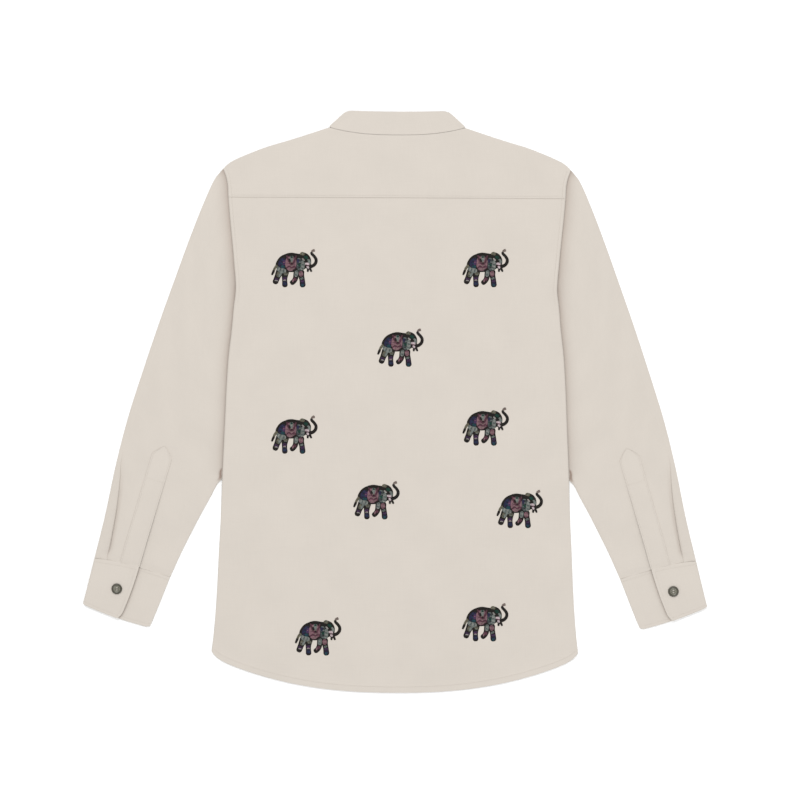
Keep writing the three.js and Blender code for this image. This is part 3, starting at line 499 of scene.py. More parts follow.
def sleeve_top(x, y):
    """
    Upper face of a right-hand sleeve away from its folded edges: the solid's face, puffed
    where it is uncovered and dipping towards the body's edge and the cuff seam.
    """
    size = sizes_mm()
    from_edge = np.minimum(x - sleeve_inner_x(y), overarm_x(y) - x)
    full = 2 * CLOTH_WALL + SLEEVE_EDGE_GAP + SLEEVE_FULLNESS * fade(from_edge, SLEEVE_FULL_AT)
    from_body = x - side_half_width(y)
    uncovered = fade(from_body - 1, UNCOVERED_RAMP)
    near_body = (1 - fade(from_body - 1, BODY_DIP_RAMP)) * fade(y + 130, 40)
    puff = size["sleeve_puff"] * uncovered * fade(from_edge, PUFF_RAMP) * fade(y + 260, 60)
    soft = creases(x, y, SLEEVE_CREASES) * fade(from_edge, CREASE_RAMP) * uncovered
    at_overlap = 1 - fade(cuff_share(x) - CUFF_OVERLAP_END + 0.02, 0.03)
    at_seam = 1 - fade(y - cuff_point(cuff_share(x), 0)[1], SEAM_DIP_RAMP)
    seam_dip = mix(SEAM_DIP, OVERLAP_DIP, at_overlap) * at_seam
    return full + puff + soft - BODY_DIP * near_body - seam_dip


# ---------------------------------------------------------------- meshes

def put_mesh(name, points, quads, material, layout=None, colour_and_painted_shade=None, sharp_degrees=50):
    """
    Puts points in mm and faces of four corners into a new mesh at the origin, with faces
    turned outwards, an optional cloth layout as a UV map and an optional colour a point,
    which carries the piece's own colour and any painted shade.
    turned outwards, an optional cloth layout as a UV map and an optional colour a point.
    """
    a, b, c, d = (points[quads[:, k]] for k in range(4))
    volume = np.einsum("ij,ij->i", a, np.cross(b, c) + np.cross(c, d)).sum()
    if volume < 0:
        quads = quads[:, ::-1]
    quads = np.ascontiguousarray(quads, np.int32)
    mesh = bpy.data.meshes.new(name)
    mesh.vertices.add(len(points))
    mesh.vertices.foreach_set("co", np.asarray(points * MM, np.float32).ravel())
    mesh.loops.add(quads.size)
    mesh.loops.foreach_set("vertex_index", quads.ravel())
    mesh.polygons.add(len(quads))
    mesh.polygons.foreach_set("loop_start", np.arange(0, quads.size, 4, dtype=np.int32))
    mesh.update(calc_edges=True)
    if layout is not None:
        layer = mesh.uv_layers.new(name="cloth")
        layer.data.foreach_set("uv", np.asarray(layout[quads.ravel()], np.float32).ravel())
    if colour_and_painted_shade is not None:
        colour = mesh.color_attributes.new(name="colour_and_painted_shade", type="FLOAT_COLOR", domain="POINT")
        alpha = np.ones((len(colour_and_painted_shade), 1))
        colour.data.foreach_set("color", np.hstack([colour_and_painted_shade, alpha]).astype(np.float32).ravel())
    if mesh.validate():
        raise RuntimeError(f"{name}: the mesh has faces that Blender had to mend")
    mesh.polygons.foreach_set("use_smooth", np.ones(len(quads), bool))
    mesh.set_sharp_from_angle(angle=math.radians(sharp_degrees))
    mesh.materials.append(material)
    piece = bpy.data.objects.new(name, mesh)
    bpy.context.scene.collection.objects.link(piece)
    return piece


def wall(outer, inner, wraps=False, keep=None):
    """
    Points and faces of a closed wall between two grids of points, the faces of the cloth.
    Its rim is closed all round; a wall that wraps has its last column joined to its first.
    keep is an optional mask of grid cells, for a wall with a slit.
    """
    rows, columns = outer.shape[:2]
    ids = np.arange(2 * rows * columns).reshape(2, rows, columns)
    if wraps:
        ids = np.concatenate([ids, ids[:, :, :1]], axis=2)
    a, b = ids
    keep = np.ones((rows - 1, a.shape[1] - 1), bool) if keep is None else keep

    def cells(grid):
        corners = [grid[:-1, :-1], grid[:-1, 1:], grid[1:, 1:], grid[1:, :-1]]
        return np.stack([corner[keep] for corner in corners], -1)

    def rim(edge_a, edge_b, cut):
        return np.stack([edge_a[:-1][cut], edge_b[:-1][cut], edge_b[1:][cut], edge_a[1:][cut]], -1)

    faces = [cells(a), cells(b)[:, ::-1]]
    faces.append(rim(a[0], b[0], keep[0]))
    faces.append(rim(a[-1], b[-1], keep[-1])[:, ::-1])
    if not wraps:
        faces.append(rim(a[:, 0], b[:, 0], keep[:, 0])[:, ::-1])
        faces.append(rim(a[:, -1], b[:, -1], keep[:, -1]))
    for j in np.flatnonzero(np.any(keep[:, 1:] != keep[:, :-1], axis=0)):
        left, right = keep[:, j], keep[:, j + 1]
        faces.append(rim(a[:, j + 1], b[:, j + 1], left & ~right))
        faces.append(rim(a[:, j + 1], b[:, j + 1], right & ~left)[:, ::-1])
    for i in np.flatnonzero(np.any(keep[1:] != keep[:-1], axis=1)):
        near, far = keep[i], keep[i + 1]
        faces.append(rim(a[i + 1], b[i + 1], near & ~far)[:, ::-1])
        faces.append(rim(a[i + 1], b[i + 1], far & ~near))
    return np.concatenate([outer.reshape(-1, 3), inner.reshape(-1, 3)]), np.concatenate(faces)


def normals(grid):
    """Unit normals of a grid of points, on the side that faces up at its highest point."""
    n = np.cross(np.gradient(grid, axis=1), np.gradient(grid, axis=0))
    n = n / np.maximum(np.linalg.norm(n, axis=2, keepdims=True), 1e-9)
    highest = np.unravel_index(grid[..., 2].argmax(), grid.shape[:2])
    return n * np.sign(n[highest][2])


def thicken(middle, half, relief=0.0):
    """Two faces on either side of a grid of middle points, the outer one with a relief."""
    n = normals(middle)
    half = np.broadcast_to(half, middle.shape[:2])[..., None]
    relief = np.broadcast_to(relief, middle.shape[:2])[..., None]
    return middle + n * (half + relief), middle - n * half


def line_at(grid, steps, target):
    """The line across a grid of points where its rows, at the given steps, reach a target."""
    i = int(np.clip(np.searchsorted(steps, target) - 1, 0, len(steps) - 2))
    return mix(grid[i], grid[i + 1], (target - steps[i]) / (steps[i + 1] - steps[i]))


def stacked(x, y, z):
    """A grid of points from grids of coordinates."""
    return np.stack(np.broadcast_arrays(x, y, z), axis=-1).astype(float)


def to_side(grid, side):
    """A right-hand grid as it is (side 1), or its mirror image for the left (side -1)."""
    return grid * np.array([side, 1.0, 1.0])


def crowded(count, start, end, share=0.75):
    """Steps from start to end that crowd towards both ends by a cosine."""
    t = np.linspace(0, 1, count)
    eased = 0.5 - 0.5 * np.cos(np.pi * t)
    return start + (end - start) * (share * eased + (1 - share) * t)


def add_cloth(node, faces, layout, depth=0.0):
    """
    Makes the cloth that stands for a CAD node from its wall and its layout in mm. Depth is
    painted shade: how much darker the cloth's colour is made where it lies deep beside a fold
    or a seam, where shade falls.
    """
    points, quads = faces
    both = np.concatenate([layout.reshape(-1, 2)] * 2)
    depth = np.broadcast_to(np.asarray(depth, float), layout.shape[:2]).ravel()
    # the point colour is one less the painted shade, in its warm hue
    colour_and_painted_shade = 1 - np.tile(depth, 2)[:, None] * PAINTED_SHADE_HUE
    piece = put_mesh(node + "_cloth", points, quads, bpy.data.materials["linen"], both, colour_and_painted_shade)
    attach(piece, "root")
    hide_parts(node)


def add_stitches(node, lines, thickness=None, length=None):
    """
    Rows of topstitching along lines of points in mm. Each stitch is a small tube of five
    rings of four points, thin and low at its ends.
    """
    size = sizes_mm()
    thickness = thickness or size["thread"]
    length = length or size["stitch_length"]
    starts, ends = [], []
    for line in lines:
        steps = np.linalg.norm(np.diff(line, axis=0), axis=1)
        run = np.concatenate([[0], np.cumsum(steps)])
        count = max(int(run[-1] / (length * STITCH_PITCH)), 1)
        begin = np.linspace(0, run[-1] - length, count) if count > 1 else np.zeros(1)
        finish = np.minimum(begin + length, run[-1])
        for at, kept in ((begin, starts), (finish, ends)):
            kept.append(np.stack([np.interp(at, run, line[:, k]) for k in range(3)], axis=1))
    start, end = np.concatenate(starts), np.concatenate(ends)
    way = end - start
    way /= np.maximum(np.linalg.norm(way, axis=1, keepdims=True), 1e-9)
    aside = np.cross(way, [0, 0, 1.0])
    aside /= np.maximum(np.linalg.norm(aside, axis=1, keepdims=True), 1e-9)
    up = np.cross(aside, way)
    t = STITCH_RINGS[:, 0][None, :, None, None]
    swell = STITCH_RINGS[:, 1][None, :, None, None] * thickness / 2
    turn = np.radians([45, 135, 225, 315])[None, None, :, None]
    middle = start[:, None, None] + (end - start)[:, None, None] * t
    points = middle + swell * (
        aside[:, None, None] * np.cos(turn) + up[:, None, None] * np.sin(turn))
    ids = np.arange(points[..., 0].size).reshape(points.shape[:3])
    around = np.concatenate([ids, ids[:, :, :1]], axis=2)
    sides = np.stack([around[:, :-1, :-1], around[:, :-1, 1:], around[:, 1:, 1:],
                      around[:, 1:, :-1]], axis=-1).reshape(-1, 4)
    caps = np.concatenate([ids[:, 0, ::-1], ids[:, -1]])
    piece = put_mesh(node + "_stitches", points.reshape(-1, 3), np.concatenate([sides, caps]),
                     bpy.data.materials["thread"], sharp_degrees=80)
    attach(piece, "root")


def hem_stitches(height, raised):
    """The line of the hem's topstitching, raised over a surface of the given height."""
    share = np.linspace(-0.985, 0.985, 400)
    x = share * side_half_width(HEM_CORNER_Y)
    y = hem_y(share) + sizes_mm()["hem_width"] - HEM_STITCH
    return stacked(x, y, height(x, y) + raised)


def armhole_stitches(height, y):
    """Both lines of topstitching beside the armholes, on a surface of the given height."""
    lines = []
    for side in (-1, 1):
        x = side * (side_half_width(y) - ARMHOLE_STITCH)
        lines.append(stacked(x, y, height(x, y) + STITCH_RAISE))
    return lines


# ---------------------------------------------------------------- the body

BODY_COLUMNS, EDGE_COLUMNS = 126, 23
EDGE_SHARE = 0.038           # of the half width, where the columns lie closer together
SLIT_SHARE = 0.0022          # half the slit's width, as a share of the front's half width


def body_plan(share, side_height):
    """
    Plan grid of the body. Columns are shares of the half width. A row below the yoke seam
    runs between hem and seam; one above it runs between the seam and the neck and shoulders.
    """
    share = share[None, :]
    side_height = side_height[:, None]
    x = share * side_half_width(side_height)
    up = (side_height - HEM_CORNER_Y) / (YOKE_Y - HEM_CORNER_Y)
    below = mix(hem_y(share), YOKE_Y, up)
    top_x = np.abs(share) * SHOULDER_X
    top = np.where(top_x < NECK_HALF_WIDTH, neck_back_y(top_x), top_edge_y(top_x))
    above = mix(YOKE_Y, top, (side_height - YOKE_Y) / (SHOULDER_Y - YOKE_Y))
    return x * np.ones_like(below), np.where(side_height <= YOKE_Y, below, above)


def body_shares():
    """Columns of the body, closer together beside the two side edges."""
    inner = np.linspace(EDGE_SHARE - 1, 1 - EDGE_SHARE, BODY_COLUMNS)
    edge = 1 - EDGE_SHARE * (1 - np.linspace(0, 1, EDGE_COLUMNS + 1)[1:]) ** 1.25
    return np.concatenate([-edge[::-1], inner, edge])


def make_back():
    """The back panel, from the curved hem to just under the yoke's folded edge."""
    near_hem = HEM_CORNER_Y + np.array([0, 0.5, 1.1, 2, 3.2, 4.6, 6, 7, 7.8, 8.6, 9.6, 11])
    rows = np.concatenate([
        near_hem,
        np.linspace(HEM_CORNER_Y + 13.5, YOKE_Y - 5, 196),
        YOKE_Y - np.array([3.4, 2.2, 1.4, 0.8, 0.3]),
    ])
    x, y = body_plan(body_shares(), rows)
    under_fold = np.array([0.4, 1.2, 2.2, 3.4])[:, None]
    x = np.concatenate([x, np.repeat(x[-1:], len(under_fold), axis=0)])
    y = np.concatenate([y, y[-1:] + under_fold])
    under_yoke = UNDER_YOKE_DIP * fade(y - (YOKE_Y - UNDER_YOKE_RAMP), UNDER_YOKE_RAMP)
    top = stacked(x, y, body_top(x, y) - under_yoke)
    bottom = top - [0, 0, sizes_mm()["cloth"]]
    add_cloth("back", wall(top, bottom), top[..., :2])
    beside_sleeve = np.linspace(ARMHOLE_FOOT_Y - 20, YOKE_Y - 1, 120)
    lines = [hem_stitches(body_top, raised=0.1), *armhole_stitches(body_top, beside_sleeve)]
    add_stitches("back", lines)


def make_yoke():
    """The back yoke, whose lower edge is folded under and lies over the back."""
    rows = np.concatenate([
        YOKE_Y + np.array([0, 0.15, 0.35, 0.6, 1.0, 1.4, 1.9, 2.6]),
        np.linspace(YOKE_Y + 3.4, SHOULDER_Y - 3, 34),
        SHOULDER_Y - np.array([2.2, 1.5, 0.9, 0.45, 0.15, 0.02]),
    ])
    x, y = body_plan(body_shares(), rows)
    top = stacked(x, y, yoke_top(x, y))
    bottom = top - [0, 0, sizes_mm()["cloth"]]
    add_cloth("yoke", wall(top, bottom), top[..., :2])
    x = np.linspace(-1, 1, 400) * (side_half_width(YOKE_Y) - ARMHOLE_STITCH)
    y = np.full_like(x, YOKE_Y + YOKE_STITCH)
    lines = [stacked(x, y, yoke_top(x, y) + STITCH_RAISE)]
    beside_sleeve = np.linspace(YOKE_Y + 1, SHOULDER_Y - 1, 60)
    lines += armhole_stitches(yoke_top, beside_sleeve)
    add_stitches("yoke", lines)


def make_front():
    """The front panel beneath, with its deep round neckline and the slit behind the placket."""
    neck_share = NECK_HALF_WIDTH / SHOULDER_X
    beyond = np.linspace(neck_share, 1, 40)[1:]
    share = np.sort(np.concatenate([
        -beyond, neck_share * np.sin(np.linspace(-np.pi / 2, np.pi / 2, 62)),
        [-SLIT_SHARE, SLIT_SHARE], beyond,
    ]))
    rows = np.linspace(0, 1, 190)[:, None]
    side_height = mix(HEM_CORNER_Y, SHOULDER_Y, rows)
    x = share[None, :] * side_half_width(side_height)
    top_x = np.abs(share[None, :]) * SHOULDER_X
    arc = np.sqrt(np.maximum(1 - (top_x / (NECK_HALF_WIDTH + CLEAR)) ** 2, 0))
    neck = NECK_SIDE_Y - (NECK_FRONT_DEPTH + CLEAR) * arc
    top = np.where(top_x < NECK_HALF_WIDTH, neck, top_edge_y(top_x))
    y = mix(hem_y(share[None, :]) + FRONT_HEM_INSET, top, rows)
    lower = stacked(x, y, front_height(x, y) + FRONT_RAISE)
    upper = lower + [0, 0, sizes_mm()["cloth"]]
    middle = (share[:-1] + share[1:]) / 2
    keep = ~((np.abs(middle)[None, :] < SLIT_SHARE) & (y[:-1, :-1] > SLIT_END_Y))
    add_cloth("front", wall(upper, lower, keep=keep), upper[..., :2])
    add_stitches("front", [hem_stitches(front_height, raised=0.05)])


def make_front_placket():
    """The half placket's strip on the outer face of the front, which faces the surface."""
    size = sizes_mm()
    top = NECK_SIDE_Y - NECK_FRONT_DEPTH - CLEAR
    x = crowded(15, -PLACKET_HALF_WIDTH, PLACKET_HALF_WIDTH)[None, :]
    y = crowded(110, PLACKET_END_Y, top, share=0.3)[:, None]
    upper_z = front_height(x, y) - STRIP_DROP
    edge = np.minimum(PLACKET_HALF_WIDTH - np.abs(x), y - PLACKET_END_Y)
    sunk = groove(edge - PLACKET_STITCH, *PLACKET_GROOVE)
    upper = stacked(x, y, upper_z)
    lower = stacked(x, y, upper_z - size["cloth"] - STRIP_EXTRA + sunk)
    add_cloth("front_placket", wall(upper, lower), upper[..., :2])
    side_x = PLACKET_HALF_WIDTH - PLACKET_STITCH
    along = np.linspace(PLACKET_END_Y + PLACKET_STITCH, top - PLACKET_STITCH, 200)
    across = np.linspace(-1, 1, 20) * side_x
    lines = [stacked(x, y, front_height(x, y) - size["cloth"] - STRIP_STITCH_DROP) for x, y in (
        (np.full_like(along, side_x), along),
        (np.full_like(along, -side_x), along),
        (across, np.full_like(across, PLACKET_END_Y + PLACKET_STITCH)),
        (across, np.full_like(across, PLACKET_END_Y + PLACKET_BOX)),
    )]
    add_stitches("front_placket", lines)


# ---------------------------------------------------------------- collar band

def trim_half(from_edge, radius):
    """Half the thickness of a doubled piece, a quarter of it at its edge and rounded to full."""
    return TRIM_THICKNESS / 2 * (0.25 + 0.75 * rounded(from_edge, radius))


def trim_relief(from_edge, ridge, stitch):
    """Relief of a doubled piece: a ridge beside its edge and the groove of its stitches."""
    at, height, half_width = ridge
    return height * bell(from_edge - at, half_width) - groove(from_edge - stitch, *TRIM_GROOVE)


def band_middle(columns_front=34, columns_fold=12, columns_back=36, rows=22):
    """
    The band's middle surface: rows from its seam to its top edge; columns from centre front
    round the half-ellipse front neckline, over the side fold by a half turn, along the back
    neckline, and the same again mirrored. Also gives each row's share of the height.
    """
    up = crowded(rows, 0, 1)[:, None]
    lower, upper = BAND_WALL / 2, BAND_WALL * 1.5 + BAND_INNER_GAP
    radius = (upper - lower) / 2
    half_width = mix(NECK_HALF_WIDTH, BAND_TOP_HALF_WIDTH, up)
    angle = np.radians(np.linspace(BAND_END_ANGLE, 5, columns_front))[None, :]
    x = half_width * np.cos(angle)
    y = mix(NECK_SIDE_Y, BAND_TOP_SIDE_Y, up) \
        - mix(NECK_FRONT_DEPTH, BAND_FRONT_DEPTH, up) * np.sin(angle)
    front = stacked(x, y, front_height(x, y) + lower)
    run, rise = BAND_TOP_HALF_WIDTH - NECK_HALF_WIDTH, BAND_TOP_SIDE_Y - NECK_SIDE_Y
    length = math.hypot(run, rise)
    turn = np.linspace(-np.pi / 2, np.pi / 2, columns_fold)[None, :]
    out = radius * np.cos(turn) - radius - BAND_WALL / 2
    fold = stacked(
        half_width + rise / length * out,
        mix(NECK_SIDE_Y + BAND_FOLD_RAISE, BAND_TOP_SIDE_Y, up) - run / length * out,
        lower + radius + radius * np.sin(turn),
    )
    share = np.linspace(0.965, 0, columns_back)[None, :]
    x = share * half_width
    y = mix(neck_back_y(share * NECK_HALF_WIDTH) + CLEAR,
            BAND_TOP_SIDE_Y - BAND_TOP_DIP * (1 - share ** 2), up)
    back = stacked(x, y, upper + air_height(x, y) + 0.35 * fade(1 - share, 0.2))
    half = np.concatenate([front, fold, back], axis=1)
    corner_drop = 1.2 * fade(half[..., 0] / half_width - 0.87, 0.13) ** 2 * up ** 6
    half[..., 1] -= corner_drop
    return np.concatenate([half, to_side(half[:, -2::-1], -1)], axis=1), up


def make_collar_band():
    """The stand collar band, its edges rounded over and sunk along two rows of topstitching."""
    middle, up = band_middle()
    from_edge = np.minimum(up, 1 - up) * BAND_HEIGHT
    along = np.cumsum(np.linalg.norm(np.diff(middle[0], axis=0, prepend=middle[:1, 0]), axis=1))
    layout = np.stack(np.broadcast_arrays(along[None, :], up * BAND_HEIGHT), axis=-1)
    relief = trim_relief(from_edge, BAND_RIDGE, BAND_STITCH)
    outer, inner = thicken(middle, trim_half(from_edge, 0.9), relief)
    add_cloth("collar_band", wall(outer, inner), layout)
    lines = [line_at(outer, up[:, 0], at / BAND_HEIGHT)
             for at in (BAND_STITCH, BAND_HEIGHT - BAND_STITCH)]
    add_stitches("collar_band", lines)


# ---------------------------------------------------------------- sleeves

SLEEVE_ROWS = 190
SLEEVE_LENGTH = 520.0      # of the cloth's layout, from armhole to cuff seam
ARMHOLE_SHARE = 0.62       # of a sleeve's upper end; the rest lies under the body
UPPER_ROLL, LOWER_ROLL = 6.5, 2.5    # width over which each layer rounds into the folded edges
CUFF_ROLL_LOSS = 3.4       # how much narrower the overarm's is at the cuff
TUCK_WIDTH = 14.0          # how far in from the underarm edge its tuck draws the cloth
PLEAT_COLUMN = 0.2         # where the pleat runs among the columns of the upper layer
PLEAT_RISE_AT_EDGE = 0.15  # of the pleat's height, at the overarm edge
PLEAT_SPREAD = 0.003       # half the width that its columns take, as a share of the layer
# section of the pleat's S-shaped fold, a column each: (shift in mm, share of its height)
PLEAT_SECTION = np.array([
    (0.0, 1.0), (-0.9, 0.86), (-1.3, 0.52), (-0.9, 0.18), (0.5, 0.02), (-1.6, 0.0),
])


def pleat_share(overarm, underarm):
    """Share across each row where its chord meets the pleat's line, kept inside the overarm edge."""
    slope = (PLEAT_FOOT[0] - PLEAT_HEAD[0]) / (PLEAT_FOOT[1] - PLEAT_HEAD[1])
    run = underarm - overarm
    line_x = pleat_line_x(overarm[..., 1])
    share = (line_x - overarm[..., 0]) / (run[..., 0] - slope * run[..., 1])
    return np.clip(share, 0.045, 0.3)


def sleeve_edges(t):
    """Overarm and underarm edges of a right-hand sleeve's plan, t of the way down."""
    outer_y = mix(SHOULDER_Y, CUFF_SEAM_OUTER[1] + CLEAR / 2, t)
    inner_y = mix(UNDERARM[1], CUFF_SEAM_INNER[1] + CLEAR / 2, t)
    overarm = np.stack([overarm_x(outer_y), outer_y], axis=-1)
    underarm = np.stack([read_table(UNDERARM_EDGE, inner_y), inner_y], axis=-1)
    return overarm, underarm


def sleeve_plan(share, t):
    """
    Plan of a right-hand sleeve, a patch blended between its four edges: the armhole end and
    the cuff seam run across, the overarm and underarm edges run along.
    """
    arm_y = np.linspace(SHOULDER_Y, ARMHOLE_FOOT_Y, 60)
    arm = np.stack([side_half_width(arm_y) + CLEAR, arm_y], axis=1)
    under = np.linspace(0, 1, 30)[1:, None] * (np.array(UNDERARM) - arm[-1]) + arm[-1]
    end = np.concatenate([arm, under])
    lengths = np.concatenate([[0], np.cumsum(np.linalg.norm(np.diff(end, axis=0), axis=1))])
    lengths /= lengths[-1]
    near = np.stack([np.interp(share, lengths, end[:, k]) for k in (0, 1)], axis=-1)
    seam_gap = [0, CLEAR / 2]
    far = np.stack(cuff_point(share, 0), axis=-1) + seam_gap
    seam_outer = np.array(CUFF_SEAM_OUTER) + seam_gap
    seam_inner = np.array(CUFF_SEAM_INNER) + seam_gap
    overarm, underarm = sleeve_edges(t)
    s, w = share[..., None], t[..., None]
    corners = mix(mix(end[0], end[-1], s), mix(seam_outer, seam_inner, s), w)
    return mix(near, far, w) + mix(overarm, underarm, s) - corners


def underarm_tuck(y):
    """How far a sleeve's underarm edge tucks in where it comes out from below the body."""
    return UNDERARM_TUCK * bell(y - UNDERARM_TUCK_Y, UNDERARM_TUCK_REACH)


def pleated_columns():
    """
    Shares across the upper layer for its columns, with one for each point of the pleat's
    section close together where the pleat runs, and the number of the first of those.
    """
    column = crowded(70, 0, 1, share=0.7)
    fold = PLEAT_COLUMN + np.linspace(-PLEAT_SPREAD, PLEAT_SPREAD, len(PLEAT_SECTION))
    column = np.sort(np.concatenate([column[np.abs(column - PLEAT_COLUMN) > 0.025], fold]))
    return column, int(np.searchsorted(column, fold[0]))


def sleeve_upper(t, width):
    """
    Upper layer of a right-hand sleeve from its overarm edge: its points, the painted shade
    that darkens them where shade falls in its folds, and their shares across. The pleat is an
    S-shaped fold along its line, scaled by how far it has grown from its head.
    """
    column, first_fold = pleated_columns()
    target = pleat_share(*sleeve_edges(t))
    warp = np.where(column < PLEAT_COLUMN, column / PLEAT_COLUMN,
                    (1 - column) / (1 - PLEAT_COLUMN))[None, :]
    share = column[None, :] + (target - PLEAT_COLUMN) * warp
    plan = sleeve_plan(share, t * np.ones_like(share))
    x, y = plan[..., 0], plan[..., 1]
    z = sleeve_top(x, y)

    down = (y - PLEAT_HEAD[1]) / (PLEAT_FOOT[1] - PLEAT_HEAD[1])
    growth = fade(down + 0.25, 0.9) * (1 - 0.8 * fade(down - 0.9, 0.1))
    # painted shade of the sleeve's folds, from its place in plan
    depth = sleeve_painted_shade(x, y, growth)
    height = sizes_mm()["pleat_height"] * growth
    strip = (np.arange(len(column)) <= first_fold)[None, :]
    across = np.clip(share / np.maximum(target, 1e-3), 0, 1)
    rise = PLEAT_RISE_AT_EDGE + (1 - PLEAT_RISE_AT_EDGE) * across ** 1.5
    z = z + np.where(strip, height * rise, 0)
    folds = slice(first_fold, first_fold + len(PLEAT_SECTION))
    x[:, folds] += PLEAT_SECTION[:, 0] * growth[:, folds]
    z[:, folds] = sleeve_top(x[:, folds], y[:, folds]) + height[:, folds] * PLEAT_SECTION[:, 1]

    radius = UPPER_ROLL - CUFF_ROLL_LOSS * fade(t - 0.9, 0.1) * (share < 0.5)
    from_edge = np.minimum(share, 1 - share) * width
    z = SLEEVE_FOLD_Z + (z - SLEEVE_FOLD_Z) * rounded(from_edge, radius)
    at_armhole = fade(share, 0.03) * (1 - fade(np.clip(share / ARMHOLE_SHARE, 0, 1) - 0.94, 0.06))
    x = x - SLEEVE_TUCK * (1 - fade(t, 0.03)) * at_armhole
    x = x - underarm_tuck(y) * (1 - fade((1 - share) * width, TUCK_WIDTH))
    over_underlap = fade(share - CUFF_OVERLAP_END - 0.005, 0.02) * fade(0.985 - share, 0.015)
    y = y - SEAM_LAP * np.clip((t - 0.985) / 0.015, 0, 1) * over_underlap
    return stacked(x, y, z), depth, share


def sleeve_lower(t, width):
    """
    Lower layer of a right-hand sleeve from its underarm edge: flat on the surface and rounded
    up to the folded edges. Gives its points and their shares across.
    """
    share = crowded(34, 1, 0, share=0.7)[1:-1][None, :] * np.ones_like(t)
    plan = sleeve_plan(share, t * np.ones_like(share))
    x, y = plan[..., 0], plan[..., 1]
    from_edge = np.minimum(share, 1 - share) * width
    z = SLEEVE_FOLD_Z * (1 - rounded(from_edge, LOWER_ROLL)) + 0.02
    x = x - underarm_tuck(y) * (1 - fade((1 - share) * width, TUCK_WIDTH))
    return stacked(x, y, z), share


def make_sleeve(side_name, side):
    """
    A flattened sleeve tube. Each ring runs from the middle of the lower layer to the overarm
    edge, along the upper layer and back along the lower one, rounded over at both edges.
    """
    t = np.concatenate([[0, 0.002, 0.005, 0.009], np.linspace(0.014, 0.985, SLEEVE_ROWS),
                        [0.99, 0.994, 0.997, 1]])[:, None]
    overarm, underarm = sleeve_edges(t)
    width = np.linalg.norm(overarm - underarm, axis=-1)
    upper, depth, upper_share = sleeve_upper(t, width)
    lower, lower_share = sleeve_lower(t, width)
    ring = np.concatenate([upper, lower], axis=1)
    # painted shade on the upper layer; none on the lower one
    depth = np.concatenate([depth, np.zeros(lower.shape[:2])], axis=1)
    around = np.concatenate([upper_share * width, 2 * width - lower_share * width], axis=1)
    layout = np.stack([around, np.broadcast_to(-t * SLEEVE_LENGTH, around.shape)], axis=-1)
    half_ring = lower.shape[1] // 2
    ring, depth, layout = (np.roll(grid, half_ring, axis=1) for grid in (ring, depth, layout))
    layout[:, :half_ring, 0] -= 2 * width
    n = normals(np.concatenate([ring[:, -1:], ring, ring[:, :1]], axis=1))[:, 1:-1]
    inner = ring - n * sizes_mm()["cloth"]
    inner[..., 2] = np.clip(inner[..., 2], 0.3, None)
    faces = wall(to_side(ring, side), to_side(inner, side), wraps=True)
    add_cloth("sleeve_" + side_name, faces, layout, depth)


# ---------------------------------------------------------------- sleeve plackets

TOWER_STITCH_SHARE = 0.86    # of the placket's half width, where its topstitching runs
PLACKET_RAISE = 0.95         # height of the placket's upper face over the sleeve's
PLACKET_DIP = 0.45           # how much lower it lies where it runs in under the cuff


def tower_axis():
    """Unit vector down the placket, and its length."""
    run, rise = TOWER_FOOT[0] - TOWER_TIP[0], TOWER_FOOT[1] - TOWER_TIP[1]
    length = math.hypot(run, rise)
    return run / length, rise / length, length


def tower_point(distance, aside):
    """Plan point of a right-hand placket, down from its tip and aside, + towards the overarm."""
    ux, uy, _ = tower_axis()
    return TOWER_TIP[0] + ux * distance - uy * aside, TOWER_TIP[1] + uy * distance + ux * aside


def tower_top(distance, share):
    """Upper face of the placket: on the sleeve, its open edge lifting towards the cuff."""
    half_width = TOWER_HALF_WIDTH * rounded(distance + 0.5, TOWER_POINT_LENGTH, 1.22)
    x, y = tower_point(distance, share * half_width)
    to_foot = tower_axis()[2] - distance
    open_edge = OPEN_LIFT * fade(distance - 10, 120) * bell((1 + share) * half_width, OPEN_WIDTH)
    from_side = (1 - np.abs(share)) * half_width
    sunk = groove(from_side - PLACKET_STITCH, *PLACKET_GROOVE)
    rolled = roll(np.minimum(from_side, distance + 0.3), *PLACKET_ROLL)
    under_cuff = PLACKET_DIP * (1 - fade(to_foot, 8))
    return x, y, sleeve_top(x, y) + PLACKET_RAISE + open_edge - sunk - rolled - under_cuff


def make_sleeve_placket(side_name, side):
    """The pointed placket that finishes the cuff opening, one strip from tip to cuff seam."""
    length = tower_axis()[2]
    distance = np.concatenate([[0, 0.6, 1.4], crowded(90, 2.4, length, share=0.3)])[:, None]
    share = crowded(25, -1, 1)[None, :]
    x, y, z = tower_top(distance, share)
    seam_share = (CUFF_SEAM_OUTER[0] - x) / (CUFF_SEAM_OUTER[0] - CUFF_SEAM_INNER[0])
    seam_y = cuff_point(seam_share, 0)[1] + CLEAR / 2
    y = y + (seam_y - y[-1:, :]) * fade(distance - length + 30, 30)
    outer = to_side(stacked(x, y, z), side)
    inner = outer - [0, 0, PLACKET_THICKNESS]
    layout = np.stack(np.broadcast_arrays(share * TOWER_HALF_WIDTH, -distance), axis=-1)
    add_cloth("sleeve_placket_" + side_name, wall(outer, inner), layout)
    lines = [line_at(outer.swapaxes(0, 1), share[0], at)[4:]
             for at in (-TOWER_STITCH_SHARE, TOWER_STITCH_SHARE)]
    lines.append(line_at(outer, distance[:, 0], TOWER_BOX_AT)[3:-3])
    lines = [line + [0, 0, STITCH_RAISE] for line in lines]
    add_stitches("sleeve_placket_" + side_name, lines)


# ---------------------------------------------------------------- cuffs

# columns of a cuff's strip: underlap, each of its two folds, lower layer, overlap
UNDERLAP_COLUMNS, FOLD_COLUMNS, LOWER_COLUMNS, OVERLAP_COLUMNS = 34, 10, 26, 40
CUFF_PUFF = 0.45             # how far the upper layers stand up between seam and hem
# rise of the hem at the outer and inner corner: (rise, share of the width that it takes)
OUTER_CORNER, INNER_CORNER = (1.2, 0.04), (1.9, 0.06)
OVERLAP_STITCH_AT = 0.926    # where stitches cross the overlap, as a share of its length


